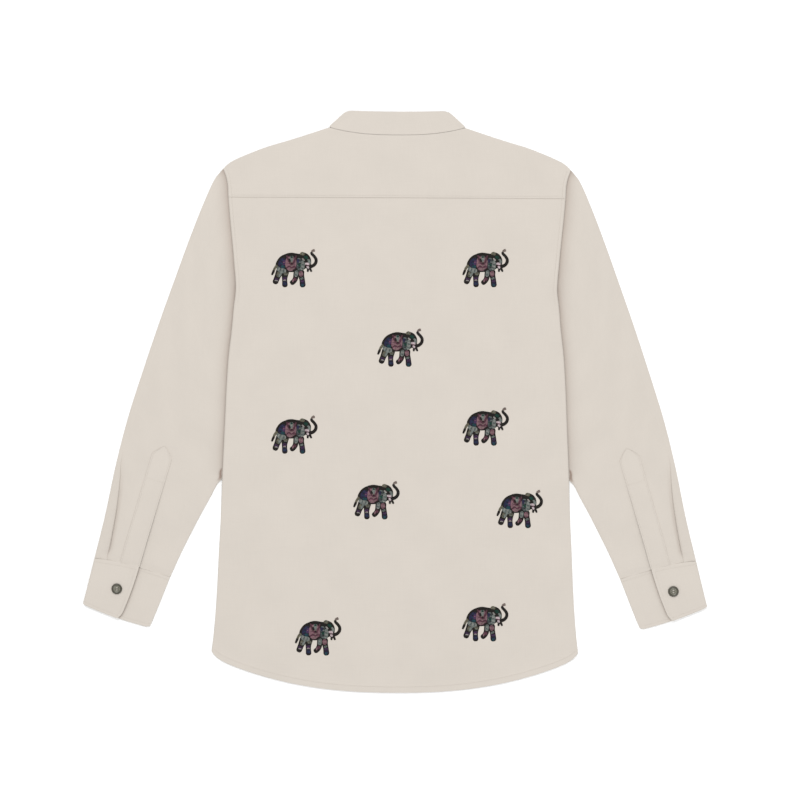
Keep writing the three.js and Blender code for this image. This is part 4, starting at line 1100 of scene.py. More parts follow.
def cuff_fold(edge, inwards, start, end, width):
    """Shares and heights round a half turn of the cuff at one of its folded edges."""
    radius = abs(end - start) / 2
    reach = (radius + CUFF_WALL / 2) / width
    turn = np.linspace(0, np.pi, FOLD_COLUMNS)
    share = edge + inwards * (reach - radius / width * np.sin(turn))
    return share, mix(start, end, (1 - np.cos(turn)) / 2)


def cuff_strip(down):
    """
    Shares, heights and nearness to the upper layers along the cuff's strip: underlap, inner
    fold, lower layer, outer fold and overlap. The overlap's free end draws back towards the
    hem; the last value is its share in each row.
    """
    width = math.dist(CUFF_SEAM_OUTER, CUFF_SEAM_INNER)
    inner_share, inner_z = cuff_fold(1, -1, CUFF_UNDERLAP_Z, CUFF_LOWER, width)
    outer_share, outer_z = cuff_fold(0, 1, CUFF_LOWER, CUFF_OVERLAP_Z, width)
    first = np.linspace(CUFF_OVERLAP_END - CUFF_UNDERLAP, 0.945, UNDERLAP_COLUMNS)
    lower = np.linspace(0.93, 0.07, LOWER_COLUMNS)
    fixed = np.concatenate([first, inner_share, lower, outer_share])[None, :]
    end = CUFF_OVERLAP_END - CUFF_END_CURVE * down ** 3 - 0.035 * fade(down - 0.86, 0.2)
    last = 0.065 + (end - 0.065) * overlap_steps()[None, :]
    share = np.concatenate([fixed * np.ones_like(down), last], axis=1)
    height = np.concatenate([
        np.full(UNDERLAP_COLUMNS, CUFF_UNDERLAP_Z), inner_z, np.full(LOWER_COLUMNS, CUFF_LOWER),
        outer_z, np.full(OVERLAP_COLUMNS, CUFF_OVERLAP_Z)])
    upper_layers = np.concatenate([
        np.ones(UNDERLAP_COLUMNS), np.linspace(1, 0, FOLD_COLUMNS), np.zeros(LOWER_COLUMNS),
        np.linspace(0, 1, FOLD_COLUMNS), np.ones(OVERLAP_COLUMNS)])
    return share, height, upper_layers, end


def overlap_steps():
    """Steps of the overlap's columns, from the outer fold to its free end."""
    return crowded(OVERLAP_COLUMNS, 0, 1, share=0.5)


def cuff_corner(share, down):
    """How far the hem rises at the cuff's corners, rounding them."""
    outer = OUTER_CORNER[0] * (1 - fade(share, OUTER_CORNER[1]))
    inner = INNER_CORNER[0] * fade(share - 1 + INNER_CORNER[1], INNER_CORNER[1])
    return (outer + inner) * down ** 8


def make_cuff(side_name, side):
    """The cuff as one interlined strip with rounded edges and sunk topstitching."""
    down = crowded(40, 0, 1)[:, None]
    share, height, upper_layers, end = cuff_strip(down)
    column = np.arange(share.shape[1])[None, :]
    underlap = column < UNDERLAP_COLUMNS
    overlap = column >= share.shape[1] - OVERLAP_COLUMNS
    over_sleeve = upper_layers * (column >= share.shape[1] - OVERLAP_COLUMNS - FOLD_COLUMNS)
    from_end = (end - share) * CUFF_MEAN_WIDTH
    x, y = cuff_point(share, down)
    y = y - CLEAR / 2 * (1 - down) + cuff_corner(share, down)
    y = y + SEAM_LAP * (1 - fade(down, 0.04)) * over_sleeve * (0.4 + 0.6 * fade(share, 0.1))
    height = height + CUFF_PUFF * np.sin(np.pi * down) * upper_layers
    height = height + OPEN_LIFT * bell(from_end, OPEN_WIDTH) * overlap
    middle = stacked(x, y, height)
    from_edge = np.minimum(down, 1 - down) * CUFF_LENGTH
    from_edge = np.where(overlap, np.minimum(from_edge, from_end), from_edge)
    relief = trim_relief(from_edge, CUFF_RIDGE, CUFF_STITCH)
    outer, inner = thicken(middle, trim_half(from_edge, 1.0), relief * upper_layers)
    outer, inner = to_side(outer, side), to_side(inner, side)
    along = np.cumsum(np.linalg.norm(np.diff(middle[0], axis=0, prepend=middle[:1, 0]), axis=1))
    layout = np.stack(np.broadcast_arrays(along[None, :], -down * CUFF_LENGTH), axis=-1)
    # painted shade on the underlap beside the overlap's free end, where shade falls
    depth = OVERLAP_SHADE * bell(np.maximum(-from_end, 0), OVERLAP_SHADE_REACH) * underlap
    add_cloth("cuff_" + side_name, wall(outer, inner), layout, depth)
    stitch_share = CUFF_STITCH / CUFF_LENGTH
    lines = [line_at(outer, down[:, 0], at) for at in (stitch_share, 1 - stitch_share)]
    overlap_across = outer[:, -OVERLAP_COLUMNS:].swapaxes(0, 1)
    lines.append(line_at(overlap_across, overlap_steps(), OVERLAP_STITCH_AT)[6:-6])
    add_stitches("cuff_" + side_name, lines)


# ---------------------------------------------------------------- buttons

# top face of a button: (share of its radius, share of its depth)
BUTTON_FACE = np.array([
    (0.02, 0.60), (0.30, 0.58), (0.50, 0.62), (0.60, 0.72), (0.68, 0.88), (0.76, 0.98),
    (0.83, 1.00), (0.90, 0.96), (0.96, 0.84), (1.00, 0.62),
])
BUTTON_HOLE_AT, BUTTON_HOLE_RADIUS, BUTTON_HOLE_DEPTH = 1.45, 0.85, 0.7
BUTTON_THREAD = 0.5          # thickness of the thread bars


def make_button(node, centre, facing):
    """
    A round four-hole button: a raised rim round a dish, its back rounded at the edge, sewn on
    with two bars of thread over each pair of holes. Facing is 1 for up and -1 for down.
    """
    share = np.concatenate([np.linspace(0.02, 0.5, 18), np.linspace(0.53, 1, 16)])[:, None]
    angle = np.linspace(0, 2 * np.pi, 49)[None, :-1]
    x = BUTTON_RADIUS * share * np.cos(angle)
    y = BUTTON_RADIUS * share * np.sin(angle)
    from_hole = np.hypot(np.abs(x) - BUTTON_HOLE_AT, np.abs(y) - BUTTON_HOLE_AT)
    in_hole = 1 - fade(from_hole - BUTTON_HOLE_RADIUS + 0.2, 0.3)
    top = BUTTON_DEPTH * read_table(BUTTON_FACE, share) - BUTTON_HOLE_DEPTH * in_hole
    back = roll(1 - share, BUTTON_DEPTH * 0.5, 0.28)
    upper = stacked(x, y, top)
    lower = stacked(x, y, np.minimum(back, top - 0.05))
    colours = bpy.context.scene.kurta_colours
    rim_colour = np.array(colours.button_rim)
    rim = fade(share - 0.56, 0.16)[..., None]
    colour_and_painted_shade = mix(np.array(colours.button_middle), rim_colour, rim)
    # painted shade in the holes: their colour is made darker where shade falls in them
    colour_and_painted_shade = colour_and_painted_shade * (1 - 0.75 * in_hole[..., None])
    colours_and_painted_shade = np.concatenate([grid.reshape(-1, 3) for grid in (
        colour_and_painted_shade, np.broadcast_to(rim_colour, colour_and_painted_shade.shape))])
    turned = np.array([1.0, facing, facing])
    points, quads = wall(upper, lower, wraps=True)
    piece = put_mesh(node + "_detail", points * turned + centre, quads,
                     bpy.data.materials["button_resin"], colour_and_painted_shade=colours_and_painted_shade)
    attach(piece, "root")
    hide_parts(node)
    reach, dish = BUTTON_HOLE_AT + 0.25, BUTTON_DEPTH * 0.66
    asides = [pair * (BUTTON_HOLE_AT + shift) for pair in (1, -1) for shift in (-0.2, 0.2)]
    bars = [np.array([(-reach, aside, dish), (reach, aside, dish)]) * turned + centre
            for aside in asides]
    add_stitches(node, bars, thickness=BUTTON_THREAD, length=2 * reach)


# ---------------------------------------------------------------- embroidery

def srgb(red, green, blue):
    """A colour of 0 to 255 for each channel, as the linear one that Blender works in."""
    value = np.array([red, green, blue]) / 255
    return np.where(value <= 0.04045, value / 12.92, ((value + 0.055) / 1.055) ** 2.4)


SILKS = {
    "black": srgb(26, 23, 20), "navy": srgb(34, 33, 60), "purple": srgb(62, 40, 72),
    "teal": srgb(24, 54, 62), "mauve": srgb(114, 84, 91), "maroon": srgb(74, 44, 54),
    "grey": srgb(100, 106, 102), "olive": srgb(88, 84, 70), "pale": srgb(170, 155, 158),
    "fir": srgb(18, 50, 41), "smoke": srgb(128, 124, 120), "slate": srgb(56, 62, 63),
    "umber": srgb(108, 96, 90),
}
# silks of the short bars laid by turns across a band of each colour
BAR_SILKS = {
    "grey": ("slate", "smoke"), "mauve": ("maroon", "umber"), "navy": ("black", "teal"),
    "purple": ("black", "mauve"), "olive": ("slate", "grey"), "slate": ("grey", "black"),
}
BAR_SPACING, BAR_WIDTH, BAR_LEAST_BAND = 2.3, 0.75, 1.8
# reach of a bar in shares of the band's half width, and lean in shares of that, by turns
BAR_REACHES, BAR_LEANS = (0.72, 0.58), (0.2, -0.2)
# steps along a band beside two for each of its rows: in the ground and in the bands on it
GROUND_STEPS, BAND_STEPS = 13, 7

# an elephant walking to the right with its trunk raised, in satin bands:
# (colour, layer, rows of centre x, centre y and half width)
ELEPHANT = (
    # dark ground, whose rim shows as the outline
    ("black", 0, ((-20.6, -1, 4), (-17, 2.8, 7.6), (-11.6, 5.5, 11), (-5, 6.8, 12.5), (3, 6.9, 12.4),
                  (10, 5.5, 12.5), (15, 4, 9.5), (19, 2.5, 6))),
    ("black", 0, ((11.5, 20.5, 2.5), (13.5, 16, 6.6), (16, 10, 8.2), (18, 4.5, 6.6), (19, -0.5, 3))),
    ("black", 0, ((-15, -1, 6), (-18, -7, 4.8), (-20.6, -13, 3.9), (-23.9, -21.4, 3.9))),
    ("black", 0, ((-9, -2, 5.5), (-10.3, -9, 4.4), (-10.6, -16, 3.4), (-10, -25.6, 3.9))),
    ("black", 0, ((5.4, -2, 4.2), (4.4, -8, 3.5), (3.8, -13.5, 3.5), (1.2, -18, 3.3), (-3, -20.8, 3.4))),
    ("black", 0, ((10.8, -2, 5.2), (11.1, -9, 4.1), (12.5, -15.6, 3.6), (13.6, -25.6, 4.1))),
    # trunk, tusks, tail
    ("black", 1, ((19, 2.5, 3.6), (23, 2, 2.5), (27.4, 3.4, 2.1), (30.4, 7, 2.1), (30.8, 11.5, 2),
                  (28.2, 15.6, 1.9), (25.1, 18.8, 1.8), (24.8, 21.4, 1.5))),
    ("umber", 1, ((24.7, 21.2, 1.4), (26.6, 22.8, 1.6), (29.2, 23.6, 2.1))),
    ("black", 1, ((20.6, 0.5, 1.7), (20.2, -2, 1.5), (19.8, -5.2, 1.2))),
    ("black", 1, ((22.2, 1, 1.6), (23.4, -1.8, 1.5), (25, -5, 1.2))),
    ("olive", 1, ((-20.6, 3.6, 1.7), (-23.4, 0, 1.6), (-25, -3.4, 1.6))),
    ("black", 1, ((-24.6, -2.6, 1.6), (-26, -6, 1.6), (-27.6, -9.6, 1.1))),
    # hips and rump
    ("navy", 1, ((-10.8, 12.9, 2.2), (-13.2, 8.9, 3.9), (-14.7, 4.9, 4.5), (-14, 1.5, 4))),
    ("purple", 2, ((-11.2, 10.8, 1.2), (-11.6, 7.2, 1.9), (-11.9, 3.6, 1.6))),
    ("teal", 2, ((-15, 3, 3), (-12.4, 1.4, 2.2), (-10.6, 0.2, 1.2))),
    ("grey", 1, ((-20.4, 1.2, 1.6), (-17.4, -2.6, 2.8), (-13, -3.8, 3.2), (-8.8, -4.2, 2.6))),
    ("olive", 1, ((-16.4, -5.6, 3.4), (-18.4, -9.2, 3), (-19.8, -12, 2.8))),
    ("grey", 2, ((-14.8, -5.8, 1.2), (-16.8, -9.4, 1.3), (-18.2, -12, 1))),
    # blanket with a pointed ornament
    ("mauve", 1, ((-2.2, 15.6, 6.6), (-2.4, 10, 7.2), (-2.6, 4, 7.3), (-2.4, -1.4, 6.2),
                  (-1.8, -3.8, 3.6))),
    ("maroon", 2, ((-8, 16.6, 0.8), (-6, 10.4, 1.2), (-3.2, 5.6, 1.1), (-1.2, 3.8, 0.8))),
    ("maroon", 2, ((4.6, 16.4, 0.8), (2.8, 10.4, 1.2), (0.4, 5.6, 1.1), (-1.2, 3.8, 0.8))),
    ("black", 3, ((-4.8, 12.2, 1), (-4, 9.6, 1.3), (-3.2, 7.6, 0.7))),
    ("grey", 2, ((-1.6, 15.8, 2.8), (-1.4, 12, 2.2), (-1.2, 8.2, 1.1))),
    ("fir", 3, ((-2.6, 14.6, 0.8), (-1.4, 14.4, 1.4), (-0.2, 14.6, 0.8))),
    ("black", 3, ((-2, 7, 0.5), (-1.2, 6, 1.1), (-0.4, 7, 0.5))),
    ("maroon", 2, ((-8.6, -0.6, 0.7), (-4.6, 2.4, 1), (-1.6, 0.2, 0.8), (2, 2.2, 1), (4.4, -0.4, 0.7))),
    ("black", 1, ((-8.8, 18.2, 0.7), (-2, 19.2, 0.9), (5.4, 18.4, 0.7))),
    # shoulder and ear
    ("slate", 1, ((8.2, 13.4, 2.2), (8.4, 8, 3.6), (9.4, 2, 4.4), (10.8, -3.4, 4))),
    ("navy", 2, ((7.2, 12, 1.2), (7, 9, 1.5), (7.4, 6.6, 1))),
    ("fir", 3, ((7.6, 5.6, 0.8), (8.8, 3.8, 1.7), (9.8, 2, 0.9))),
    ("grey", 2, ((13.4, 10, 1.4), (13.4, 5.6, 2.4), (12.8, 0.6, 2.6), (12.2, -3, 1.8))),
    ("smoke", 3, ((12.2, 12.6, 0.8), (14, 11, 1.1), (15.4, 9.2, 0.8))),
    # head
    ("olive", 1, ((9.6, 18.2, 1.2), (12.6, 19, 2.2), (15.4, 17.4, 1.6))),
    ("fir", 2, ((15, 15.6, 1), (18, 13.8, 2.2), (20.2, 13.6, 1.2))),
    ("grey", 1, ((20, 11.6, 1.4), (21.8, 8.6, 1.8), (22.4, 5.6, 1.4))),
    ("black", 3, ((14.6, 9.2, 0.6), (17.6, 8, 1.1), (20.2, 9.6, 0.8))),
    ("pale", 2, ((16.2, 6.2, 1), (19.2, 5, 2.2), (22, 4.8, 1.4))),
    ("pale", 2, ((18.6, 2.2, 1), (20.2, 0.8, 1.5), (20.6, -1, 0.8))),
    ("maroon", 3, ((16.6, 4.2, 0.4), (19, 3.4, 0.6), (21.4, 3.4, 0.4))),
    # front legs
    ("grey", 1, ((5.4, -3.4, 2.2), (4.7, -8, 2.4), (4.2, -11.6, 2.1))),
    ("mauve", 1, ((10.3, -4.4, 2.8), (11, -8.2, 2.7), (11.6, -11.2, 2.2))),
    ("grey", 1, ((11.6, -12.8, 2), (12.5, -15, 2.1))),
    ("olive", 1, ((-8.6, -6, 2.8), (-9.6, -9.6, 2.6))),
    # anklets and feet
    ("purple", 1, ((-20.6, -13.8, 2.7), (-21.7, -16.2, 2.7))),
    ("smoke", 2, ((-23.7, -17, 0.5), (-21.6, -16.7, 0.7), (-19.6, -17.5, 0.5))),
    ("purple", 1, ((-10.4, -12, 2.4), (-10.6, -16, 2.3))),
    ("navy", 1, ((-10.5, -17.4, 2.4), (-10.2, -23.6, 2.7))),
    ("smoke", 2, ((-12.4, -16.8, 0.4), (-10.4, -16.2, 0.6), (-8.6, -16.8, 0.4))),
    ("maroon", 1, ((3.9, -13.4, 2.4), (1.8, -16.6, 2.3))),
    ("mauve", 2, ((1.2, -15.2, 0.7), (0.4, -17, 1), (0.2, -18.8, 0.6))),
    ("purple", 1, ((12.8, -15.8, 2.4), (13.1, -18.6, 2.4))),
    ("navy", 1, ((13.1, -19, 2.6), (13.4, -23.2, 2.6))),
    ("teal", 2, ((12.8, -21.2, 1.5), (13.3, -24.8, 1.7))),
)
MOTIF_CENTRES = np.array([
    (-137.4, 176.0), (115.4, 177.3), (3.3, 71.6), (-136.5, -44.1), (116.5, -32.2),
    (-27.5, -130.4), (162.1, -141.1), (-103.8, -310.8), (117.0, -291.1),
])


def satin_band(rows, along, across=5):
    """
    A closed band over the plane: rounded ends, a smooth centre line through its rows, and a
    domed face. Gives the plan and share of height of its upper face, and its layout.
    """
    rows = np.array(rows, float)
    ends = [2 * rows[0] - rows[1], 2 * rows[-1] - rows[-2]]
    padded = np.vstack([ends[0], rows, ends[1]])
    t = crowded(along, 0, len(rows) - 1, share=0.6)
    i = np.minimum(t.astype(int), len(rows) - 2)
    u = (t - i)[:, None]
    p0, p1, p2, p3 = (padded[i + k] for k in range(4))
    path = 0.5 * (2 * p1 + (p2 - p0) * u + (2 * p0 - 5 * p1 + 4 * p2 - p3) * u ** 2
                  + (3 * p1 - p0 - 3 * p2 + p3) * u ** 3)
    way = np.gradient(path[:, :2], axis=0)
    way /= np.linalg.norm(way, axis=1, keepdims=True)
    steps = np.linalg.norm(np.diff(path[:, :2], axis=0), axis=1)
    run = np.concatenate([[0], np.cumsum(steps)])
    half = path[:, 2] * rounded(np.minimum(run, run[-1] - run) + 0.25, np.minimum(
        path[:, 2], run[-1] / 2.2), 2.0)
    side = np.sin(np.linspace(-np.pi / 2, np.pi / 2, across))[None, :]
    x = path[:, :1] - way[:, 1:] * half[:, None] * side
    y = path[:, 1:2] + way[:, :1] * half[:, None] * side
    from_rim = np.minimum(1 - np.abs(side) ** 3, rounded(np.minimum(run, run[-1] - run), 1)[:, None])
    layout = np.stack(np.broadcast_arrays(run[:, None], half[:, None] * side), axis=-1)
    return x, y, from_rim, layout


def bars_across(colour, layer, rows):
    """
    Short bars of thread over a wide band, evenly spaced along it, leaning a little to either
    side and in two silks by turns: (colour, layer, rows as in the table) for each.
    """
    rows = np.array(rows, float)
    run = np.concatenate([[0], np.cumsum(np.linalg.norm(np.diff(rows[:, :2], axis=0), axis=1))])
    at = np.arange(BAR_SPACING * 0.5, run[-1], BAR_SPACING)[:, None] + [-0.2, 0, 0.2]
    x, y, half = (np.interp(at, run, rows[:, k]) for k in range(3))
    way = np.stack([x[:, 2] - x[:, 0], y[:, 2] - y[:, 0]], axis=1)
    way /= np.linalg.norm(way, axis=1, keepdims=True)
    bars = []
    for k in np.flatnonzero(half[:, 1] >= BAR_LEAST_BAND):
        reach = half[k, 1] * BAR_REACHES[k % 2]
        lean = reach * BAR_LEANS[k % 2]
        ends = [(x[k, 1] + (way[k, 0] * lean - way[k, 1] * reach) * side,
                 y[k, 1] + (way[k, 1] * lean + way[k, 0] * reach) * side,
                 BAR_WIDTH / 2) for side in (-1, 1)]
        bars.append((BAR_SILKS[colour][k % 2], layer + 1, ends))
    return bars


def motif_bands():
    """All bands of one elephant round its own centre: (colour, layer, shape of the band)."""
    bands = []
    for colour, layer, rows in ELEPHANT:
        steps = 2 * len(rows) + (BAND_STEPS if layer else GROUND_STEPS)
        bands.append((colour, layer, satin_band(rows, steps)))
    for band in ELEPHANT:
        if band[0] in BAR_SILKS:
            bands += [(colour, layer, satin_band(rows, along=6, across=3))
                      for colour, layer, rows in bars_across(*band)]
    return bands


def make_embroidery():
    """Nine elephants in satin stitch, scattered over the back, in bands laid over a dark ground."""
    size = sizes_mm()
    points, quads, layouts, colours_and_painted_shade = [], [], [], []
    count = 0
    bands = motif_bands()
    for centre in MOTIF_CENTRES:
        for colour, layer, (x, y, from_rim, layout) in bands:
            x, y = x + centre[0], y + centre[1]
            ground = body_top(x, y)
            raised = size["embroidery"] * (layer + 0.35 + 0.65 * from_rim)
            band_points, band_quads = wall(
                stacked(x, y, ground + raised), stacked(x, y, ground - 0.1))
            points.append(band_points)
            quads.append(band_quads + count)
            count += len(band_points)
            layouts.append(np.concatenate([layout.reshape(-1, 2)] * 2))
            colours_and_painted_shade.append(np.broadcast_to(SILKS[colour], band_points.shape))
    piece = put_mesh("back_embroidery", np.concatenate(points), np.concatenate(quads),
                     bpy.data.materials["embroidery"], np.concatenate(layouts),
                     np.concatenate(colours_and_painted_shade), sharp_degrees=60)
    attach(piece, "root")


# ---------------------------------------------------------------- materials

# a Mix node's sockets share their names, so they go by number: both inputs and the output
VALUE_SOCKETS, COLOUR_SOCKETS = (2, 3, 0), (6, 7, 2)


def start_material(name, roughness, sheen=0.0, specular=0.25):
    """A new material whose shader has its constants set: its node tree and its shader."""
    material = bpy.data.materials.new(name)
    material.use_nodes = True
    tree = material.node_tree
    shader = tree.nodes["Principled BSDF"]
    shader.inputs["Roughness"].default_value = roughness
    shader.inputs["Specular IOR Level"].default_value = specular
    shader.inputs["Sheen Weight"].default_value = sheen
    shader.inputs["Sheen Roughness"].default_value = 0.5
    return tree, shader


def add_node(tree, kind, inputs=(), **settings):
    """Adds a node, sets its properties, and fills or links its inputs by name."""
    node = tree.nodes.new(kind)
    for key, value in settings.items():
        setattr(node, key, value)
    for key, value in dict(inputs).items():
        if isinstance(value, bpy.types.NodeSocket):
            tree.links.new(value, node.inputs[key])
        else:
            node.inputs[key].default_value = value
    return node


def add_bump(tree, shader, relief, strength, distance):
    """Gives the shader a fine relief, whose full height is the distance in metres."""
    bump = add_node(tree, "ShaderNodeBump", {
        "Strength": strength, "Distance": distance, "Height": relief})
    tree.links.new(bump.outputs["Normal"], shader.inputs["Normal"])


def object_place(tree):
    """Place in the piece's own frame, in metres."""
    return add_node(tree, "ShaderNodeTexCoord").outputs["Object"]


def cloth_layout(tree):
    """Place in the cloth's flat layout, in mm."""
    return add_node(tree, "ShaderNodeUVMap", uv_map="cloth").outputs["UV"]


def stretched_noise(tree, coordinates, scale, detail=2.0, stretch=(1, 1, 1)):
    """Noise drawn out along the axes by the stretch, for threads, slubs and clouds."""
    mapped = add_node(tree, "ShaderNodeMapping", {"Vector": coordinates, "Scale": stretch})
    noise = add_node(tree, "ShaderNodeTexNoise", {
        "Vector": mapped.outputs["Vector"], "Scale": scale, "Detail": detail})
    return noise.outputs["Fac"]


def thread_wave(tree, layout, axis, scale, distortion, detail, detail_scale):
    """Threads lying side by side across an axis of the layout, a little uneven."""
    return add_node(tree, "ShaderNodeTexWave", {
        "Vector": layout, "Scale": scale, "Distortion": distortion, "Detail": detail,
        "Detail Scale": detail_scale}, bands_direction=axis).outputs["Fac"]


def mixed(tree, first, second, share, sockets=VALUE_SOCKETS, **settings):
    """A Mix node's blend of two values, or of two colours through their own sockets."""
    node = add_node(tree, "ShaderNodeMix", {"Factor": share}, **settings)
    tree.links.new(first, node.inputs[sockets[0]])
    tree.links.new(second, node.inputs[sockets[1]])
    return node.outputs[sockets[2]]


def ramp_colour(tree, value, low, high, start, end):
    """A colour between two, by where a value lies between start and end."""
    ramp = add_node(tree, "ShaderNodeValToRGB", {"Fac": value})
    for element, position, colour in zip(ramp.color_ramp.elements, (start, end), (low, high)):
        element.position = position
        element.color = (*colour, 1)
    return ramp.outputs["Color"]


def tinted(tree, low, high, value):
    """The mesh's own colour, which carries any painted shade, times one between two colours, by a value.
    """
    own = add_node(tree, "ShaderNodeVertexColor", layer_name="colour_and_painted_shade").outputs["Color"]
    shade = ramp_colour(tree, value, low, high, 0.3, 0.7)
    return mixed(tree, own, shade, 1.0, COLOUR_SOCKETS, data_type="RGBA", blend_type="MULTIPLY")


def make_linen():
    """
    Plain-woven linen and cotton: two crossed sets of threads with slubs drawn out along
    them, a slight change of colour from thread to thread and a slower one over the cloth.
    """
    cloth = np.array(bpy.context.scene.kurta_colours.cloth)
    tree, shader = start_material("linen", roughness=0.88, sheen=0.08)
    layout = cloth_layout(tree)
    warp, weft = (thread_wave(tree, layout, axis, 0.62, 0.35, 1.0, 0.6) for axis in "XY")
    warp_slubs = stretched_noise(tree, layout, 1.0, stretch=(1.6, 0.035, 1))
    weft_slubs = stretched_noise(tree, layout, 1.0, stretch=(0.03, 1.5, 1))
    weave = mixed(tree, warp, weft, 0.5)
    slubs = mixed(tree, warp_slubs, weft_slubs, 0.5)
    clouds = stretched_noise(tree, layout, 0.018, detail=3.0)
    tone = mixed(tree, mixed(tree, slubs, weave, 0.25), clouds, 0.35)
    # the mesh's colour attribute brings in the painted shade beside folds and seams
    tree.links.new(tinted(tree, cloth * 0.955, cloth * 1.045, tone), shader.inputs["Base Color"])
    add_bump(tree, shader, mixed(tree, weave, slubs, 0.45), 0.55, 0.00012)


def make_thread():
    """Cotton sewing thread: a tone off the cloth, with fine uneven fibres."""
    thread = np.array(bpy.context.scene.kurta_colours.thread)
    tree, shader = start_material("thread", roughness=0.7, sheen=0.1)
    fibres = stretched_noise(tree, object_place(tree), 2400)
    tree.links.new(ramp_colour(tree, fibres, thread * 0.88, thread, 0.35, 0.65),
                   shader.inputs["Base Color"])
    add_bump(tree, shader, fibres, 0.4, 0.0001)


def make_button_material():
    """Polished horn-like resin: its rim and dish from the mesh, clouded and finely scratched."""
    tree, shader = start_material("button_resin", roughness=0.34, specular=0.5)
    place = object_place(tree)
    clouds = stretched_noise(tree, place, 420, detail=4.0, stretch=(1, 2.2, 1))
    scratches = stretched_noise(tree, place, 900, stretch=(3.0, 0.3, 1))
    tree.links.new(tinted(tree, (0.72,) * 3, (1.25,) * 3, clouds), shader.inputs["Base Color"])
    add_bump(tree, shader, scratches, 0.2, 0.00004)


def make_embroidery_material():
    """Satin stitch: the mesh's own colours, with threads lying side by side across each band."""
    tree, shader = start_material("embroidery", roughness=0.6, sheen=0.03, specular=0.12)
    layout = cloth_layout(tree)
    threads = thread_wave(tree, layout, "X", 0.9, 1.2, 2.0, 1.4)
    strands = stretched_noise(tree, layout, 1.0, stretch=(2.6, 0.5, 1))
    mottle = stretched_noise(tree, object_place(tree), 420)
    tone = mixed(tree, mixed(tree, threads, strands, 0.6), mottle, 0.55)
    tree.links.new(tinted(tree, (0.4,) * 3, (1.5,) * 3, tone), shader.inputs["Base Color"])
    add_bump(tree, shader, threads, 0.6, 0.00012)


def make_floor_material():
    """A pale matt board with hardly any grain."""
    floor = np.array(bpy.context.scene.kurta_colours.floor)
    tree, shader = start_material("floor", roughness=0.95)
    grain = stretched_noise(tree, object_place(tree), 60)
    tree.links.new(ramp_colour(tree, grain, floor * 0.995, floor, 0.4, 0.6),
                   shader.inputs["Base Color"])


# ---------------------------------------------------------------- floor, light and camera

CAMERA_AT = (0.0053, 0.0020, 2.944)
CAMERA_ROLL = math.radians(0.27)
LENS_MM = 100
FLOOR_HALF, FLOOR_DROP = 4.0, 0.0003
SURROUND_STRENGTH = 0.82
# area lights: place in metres, size in metres, power in watts
LIGHTS = (
    ("key_light", (-0.5, 2.1, 3.2), 1.6, 62.0),
    ("fill_light", (0.9, -1.9, 3.2), 2.2, 38.0),
)


def make_floor():
    """A flat square just below the resting plane."""
    corners = [(-FLOOR_HALF, -FLOOR_HALF), (FLOOR_HALF, -FLOOR_HALF),
               (FLOOR_HALF, FLOOR_HALF), (-FLOOR_HALF, FLOOR_HALF)]
    mesh = bpy.data.meshes.new("floor")
    mesh.from_pydata([(x, y, -FLOOR_DROP) for x, y in corners], [], [(0, 1, 2, 3)])
    mesh.materials.append(bpy.data.materials["floor"])
    floor = bpy.data.objects.new("floor", mesh)
    bpy.context.scene.collection.objects.link(floor)


def make_lights():
    """An even pale surround, a broad key from the collar's side and a broader fill opposite."""
    scene = bpy.context.scene
    scene.world = scene.world or bpy.data.worlds.new("surround")
    scene.world.use_nodes = True
    surround = scene.world.node_tree.nodes["Background"]
    surround.inputs["Color"].default_value = (1, 1, 1, 1)
    surround.inputs["Strength"].default_value = SURROUND_STRENGTH
    for name, place, width, power in LIGHTS:
        data = bpy.data.lights.new(name, "AREA")
        data.shape = "SQUARE"
        data.size = width
        data.energy = power
        light = bpy.data.objects.new(name, data)
        light.location = place
        light.rotation_euler = (-Vector(place)).to_track_quat("-Z", "Y").to_euler()
        scene.collection.objects.link(light)


def make_camera():
    """A long lens straight above, so that the garment's plan is seen."""
    data = bpy.data.cameras.new("camera")
    data.lens = LENS_MM
    camera = bpy.data.objects.new("camera", data)
    camera.location = CAMERA_AT
    camera.rotation_euler = (0, 0, CAMERA_ROLL)
    bpy.context.scene.collection.objects.link(camera)
    bpy.context.scene.camera = camera
    bpy.context.scene.view_settings.view_transform = "Standard"


# ---------------------------------------------------------------- the add-on

SIDES = (("left", -1), ("right", 1))


class KURTA_OT_materials(bpy.types.Operator):
    """Make the linen, thread, button, embroidery and floor materials"""

    bl_idname = "kurta.materials"
    bl_label = "Materials"

    def execute(self, context):
        make_linen()
        make_thread()
        make_button_material()
        make_embroidery_material()
        make_floor_material()
        return {"FINISHED"}


class KURTA_OT_back(bpy.types.Operator):
    """Make the back panel and the yoke above it, with their topstitching"""

    bl_idname = "kurta.back"
    bl_label = "Back and yoke"

    def execute(self, context):
        make_back()
        make_yoke()
        return {"FINISHED"}


class KURTA_OT_embroidery(bpy.types.Operator):
    """Make the elephants embroidered on the back"""

    bl_idname = "kurta.embroidery"
    bl_label = "Embroidery"

    def execute(self, context):
        make_embroidery()
        return {"FINISHED"}


class KURTA_OT_front(bpy.types.Operator):
    """Make the front panel and its half placket, on the side that the kurta lies on"""

    bl_idname = "kurta.front"
    bl_label = "Front and front placket"

    def execute(self, context):
        make_front()
        make_front_placket()
        return {"FINISHED"}


class KURTA_OT_collar_band(bpy.types.Operator):
    """Make the stand collar band"""

    bl_idname = "kurta.collar_band"
    bl_label = "Collar band"

    def execute(self, context):
        make_collar_band()
        return {"FINISHED"}


class KURTA_OT_sleeves(bpy.types.Operator):
    """Make both sleeves"""

    bl_idname = "kurta.sleeves"
    bl_label = "Sleeves"

    def execute(self, context):
        for side_name, side in SIDES:
            make_sleeve(side_name, side)
        return {"FINISHED"}


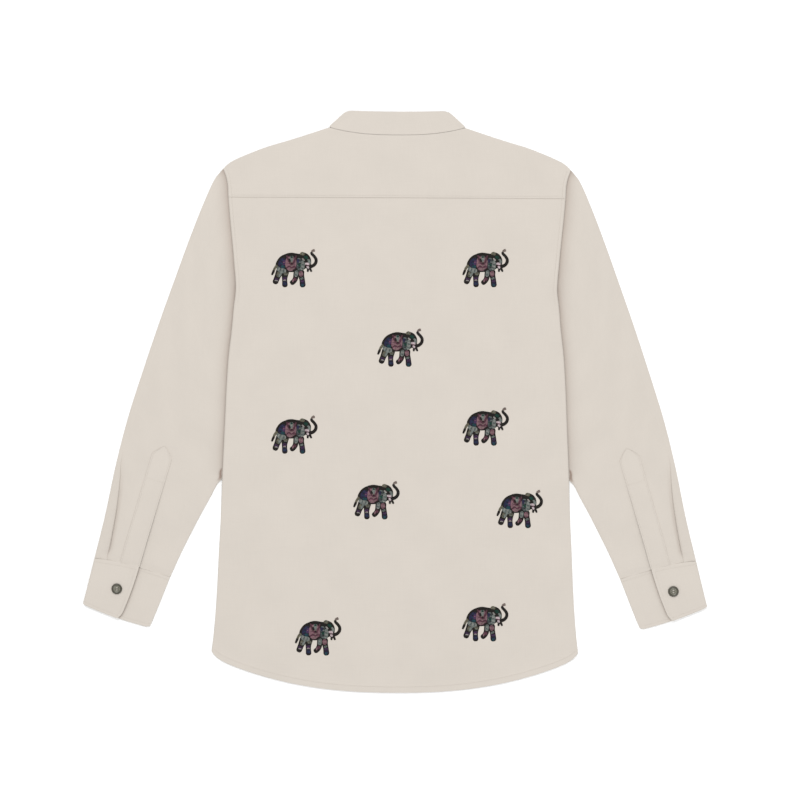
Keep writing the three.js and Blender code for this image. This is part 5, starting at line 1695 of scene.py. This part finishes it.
class KURTA_OT_sleeve_plackets(bpy.types.Operator):
    """Make the pointed placket of each sleeve"""

    bl_idname = "kurta.sleeve_plackets"
    bl_label = "Sleeve plackets"

    def execute(self, context):
        for side_name, side in SIDES:
            make_sleeve_placket(side_name, side)
        return {"FINISHED"}


class KURTA_OT_cuffs(bpy.types.Operator):
    """Make both cuffs"""

    bl_idname = "kurta.cuffs"
    bl_label = "Cuffs"

    def execute(self, context):
        for side_name, side in SIDES:
            make_cuff(side_name, side)
        return {"FINISHED"}


class KURTA_OT_buttons(bpy.types.Operator):
    """Make the cuff buttons, face up, and the front buttons, face down"""

    bl_idname = "kurta.buttons"
    bl_label = "Buttons"

    def execute(self, context):
        for side_name, side in SIDES:
            centre = (side * CUFF_BUTTON[0], CUFF_BUTTON[1], CUFF_BUTTON_Z)
            make_button(f"cuff_button_{side_name}", centre, 1)
        for number, height in enumerate(FRONT_BUTTON_HEIGHTS, 1):
            make_button(f"front_button_{number}", (0, height, BUTTON_DEPTH), -1)
        return {"FINISHED"}


class KURTA_OT_sheets(bpy.types.Operator):
    """A step that does nothing: the cut of the cloth is not stated"""

    bl_idname = "kurta.sheets"
    bl_label = "Cut of the cloth"

    def execute(self, context):
        return {"FINISHED"}


class KURTA_OT_stage(bpy.types.Operator):
    """Make the floor, the lights and the camera"""

    bl_idname = "kurta.stage"
    bl_label = "Floor, light and camera"

    def execute(self, context):
        make_floor()
        make_lights()
        make_camera()
        return {"FINISHED"}


OPERATORS = (
    KURTA_OT_materials, KURTA_OT_back, KURTA_OT_embroidery, KURTA_OT_front,
    KURTA_OT_collar_band, KURTA_OT_sleeves, KURTA_OT_sleeve_plackets, KURTA_OT_cuffs,
    KURTA_OT_buttons, KURTA_OT_sheets, KURTA_OT_stage,
)


class KURTA_PT_panel(bpy.types.Panel):
    """Sizes, colours and making steps of the kurta"""

    bl_idname = "KURTA_PT_panel"
    bl_label = "Kurta"
    bl_space_type = "VIEW_3D"
    bl_region_type = "UI"
    bl_category = "Kurta"

    def draw(self, context):
        for heading, group, group_class in (
            ("Sizes", context.scene.kurta_sizes, KurtaSizes),
            ("Colours", context.scene.kurta_colours, KurtaColours),
        ):
            box = self.layout.box()
            box.label(text=heading)
            for key in group_class.__annotations__:
                box.prop(group, key)
        for kind in OPERATORS:
            self.layout.operator(kind.bl_idname)


def register():
    """Registers the property groups, operators and panel."""
    for kind in (KurtaSizes, KurtaColours, *OPERATORS, KURTA_PT_panel):
        bpy.utils.register_class(kind)
    bpy.types.Scene.kurta_sizes = bpy.props.PointerProperty(type=KurtaSizes)
    bpy.types.Scene.kurta_colours = bpy.props.PointerProperty(type=KurtaColours)


def unregister():
    """Takes them away again."""
    del bpy.types.Scene.kurta_colours
    del bpy.types.Scene.kurta_sizes
    for kind in (KURTA_PT_panel, *reversed(OPERATORS), KurtaColours, KurtaSizes):
        bpy.utils.unregister_class(kind)


def main():
    """Makes everything in order."""
    register()
    for kind in OPERATORS:
        group, name = kind.bl_idname.split(".")
        getattr(getattr(bpy.ops, group), name)()


if __name__ == "__main__":
    main()
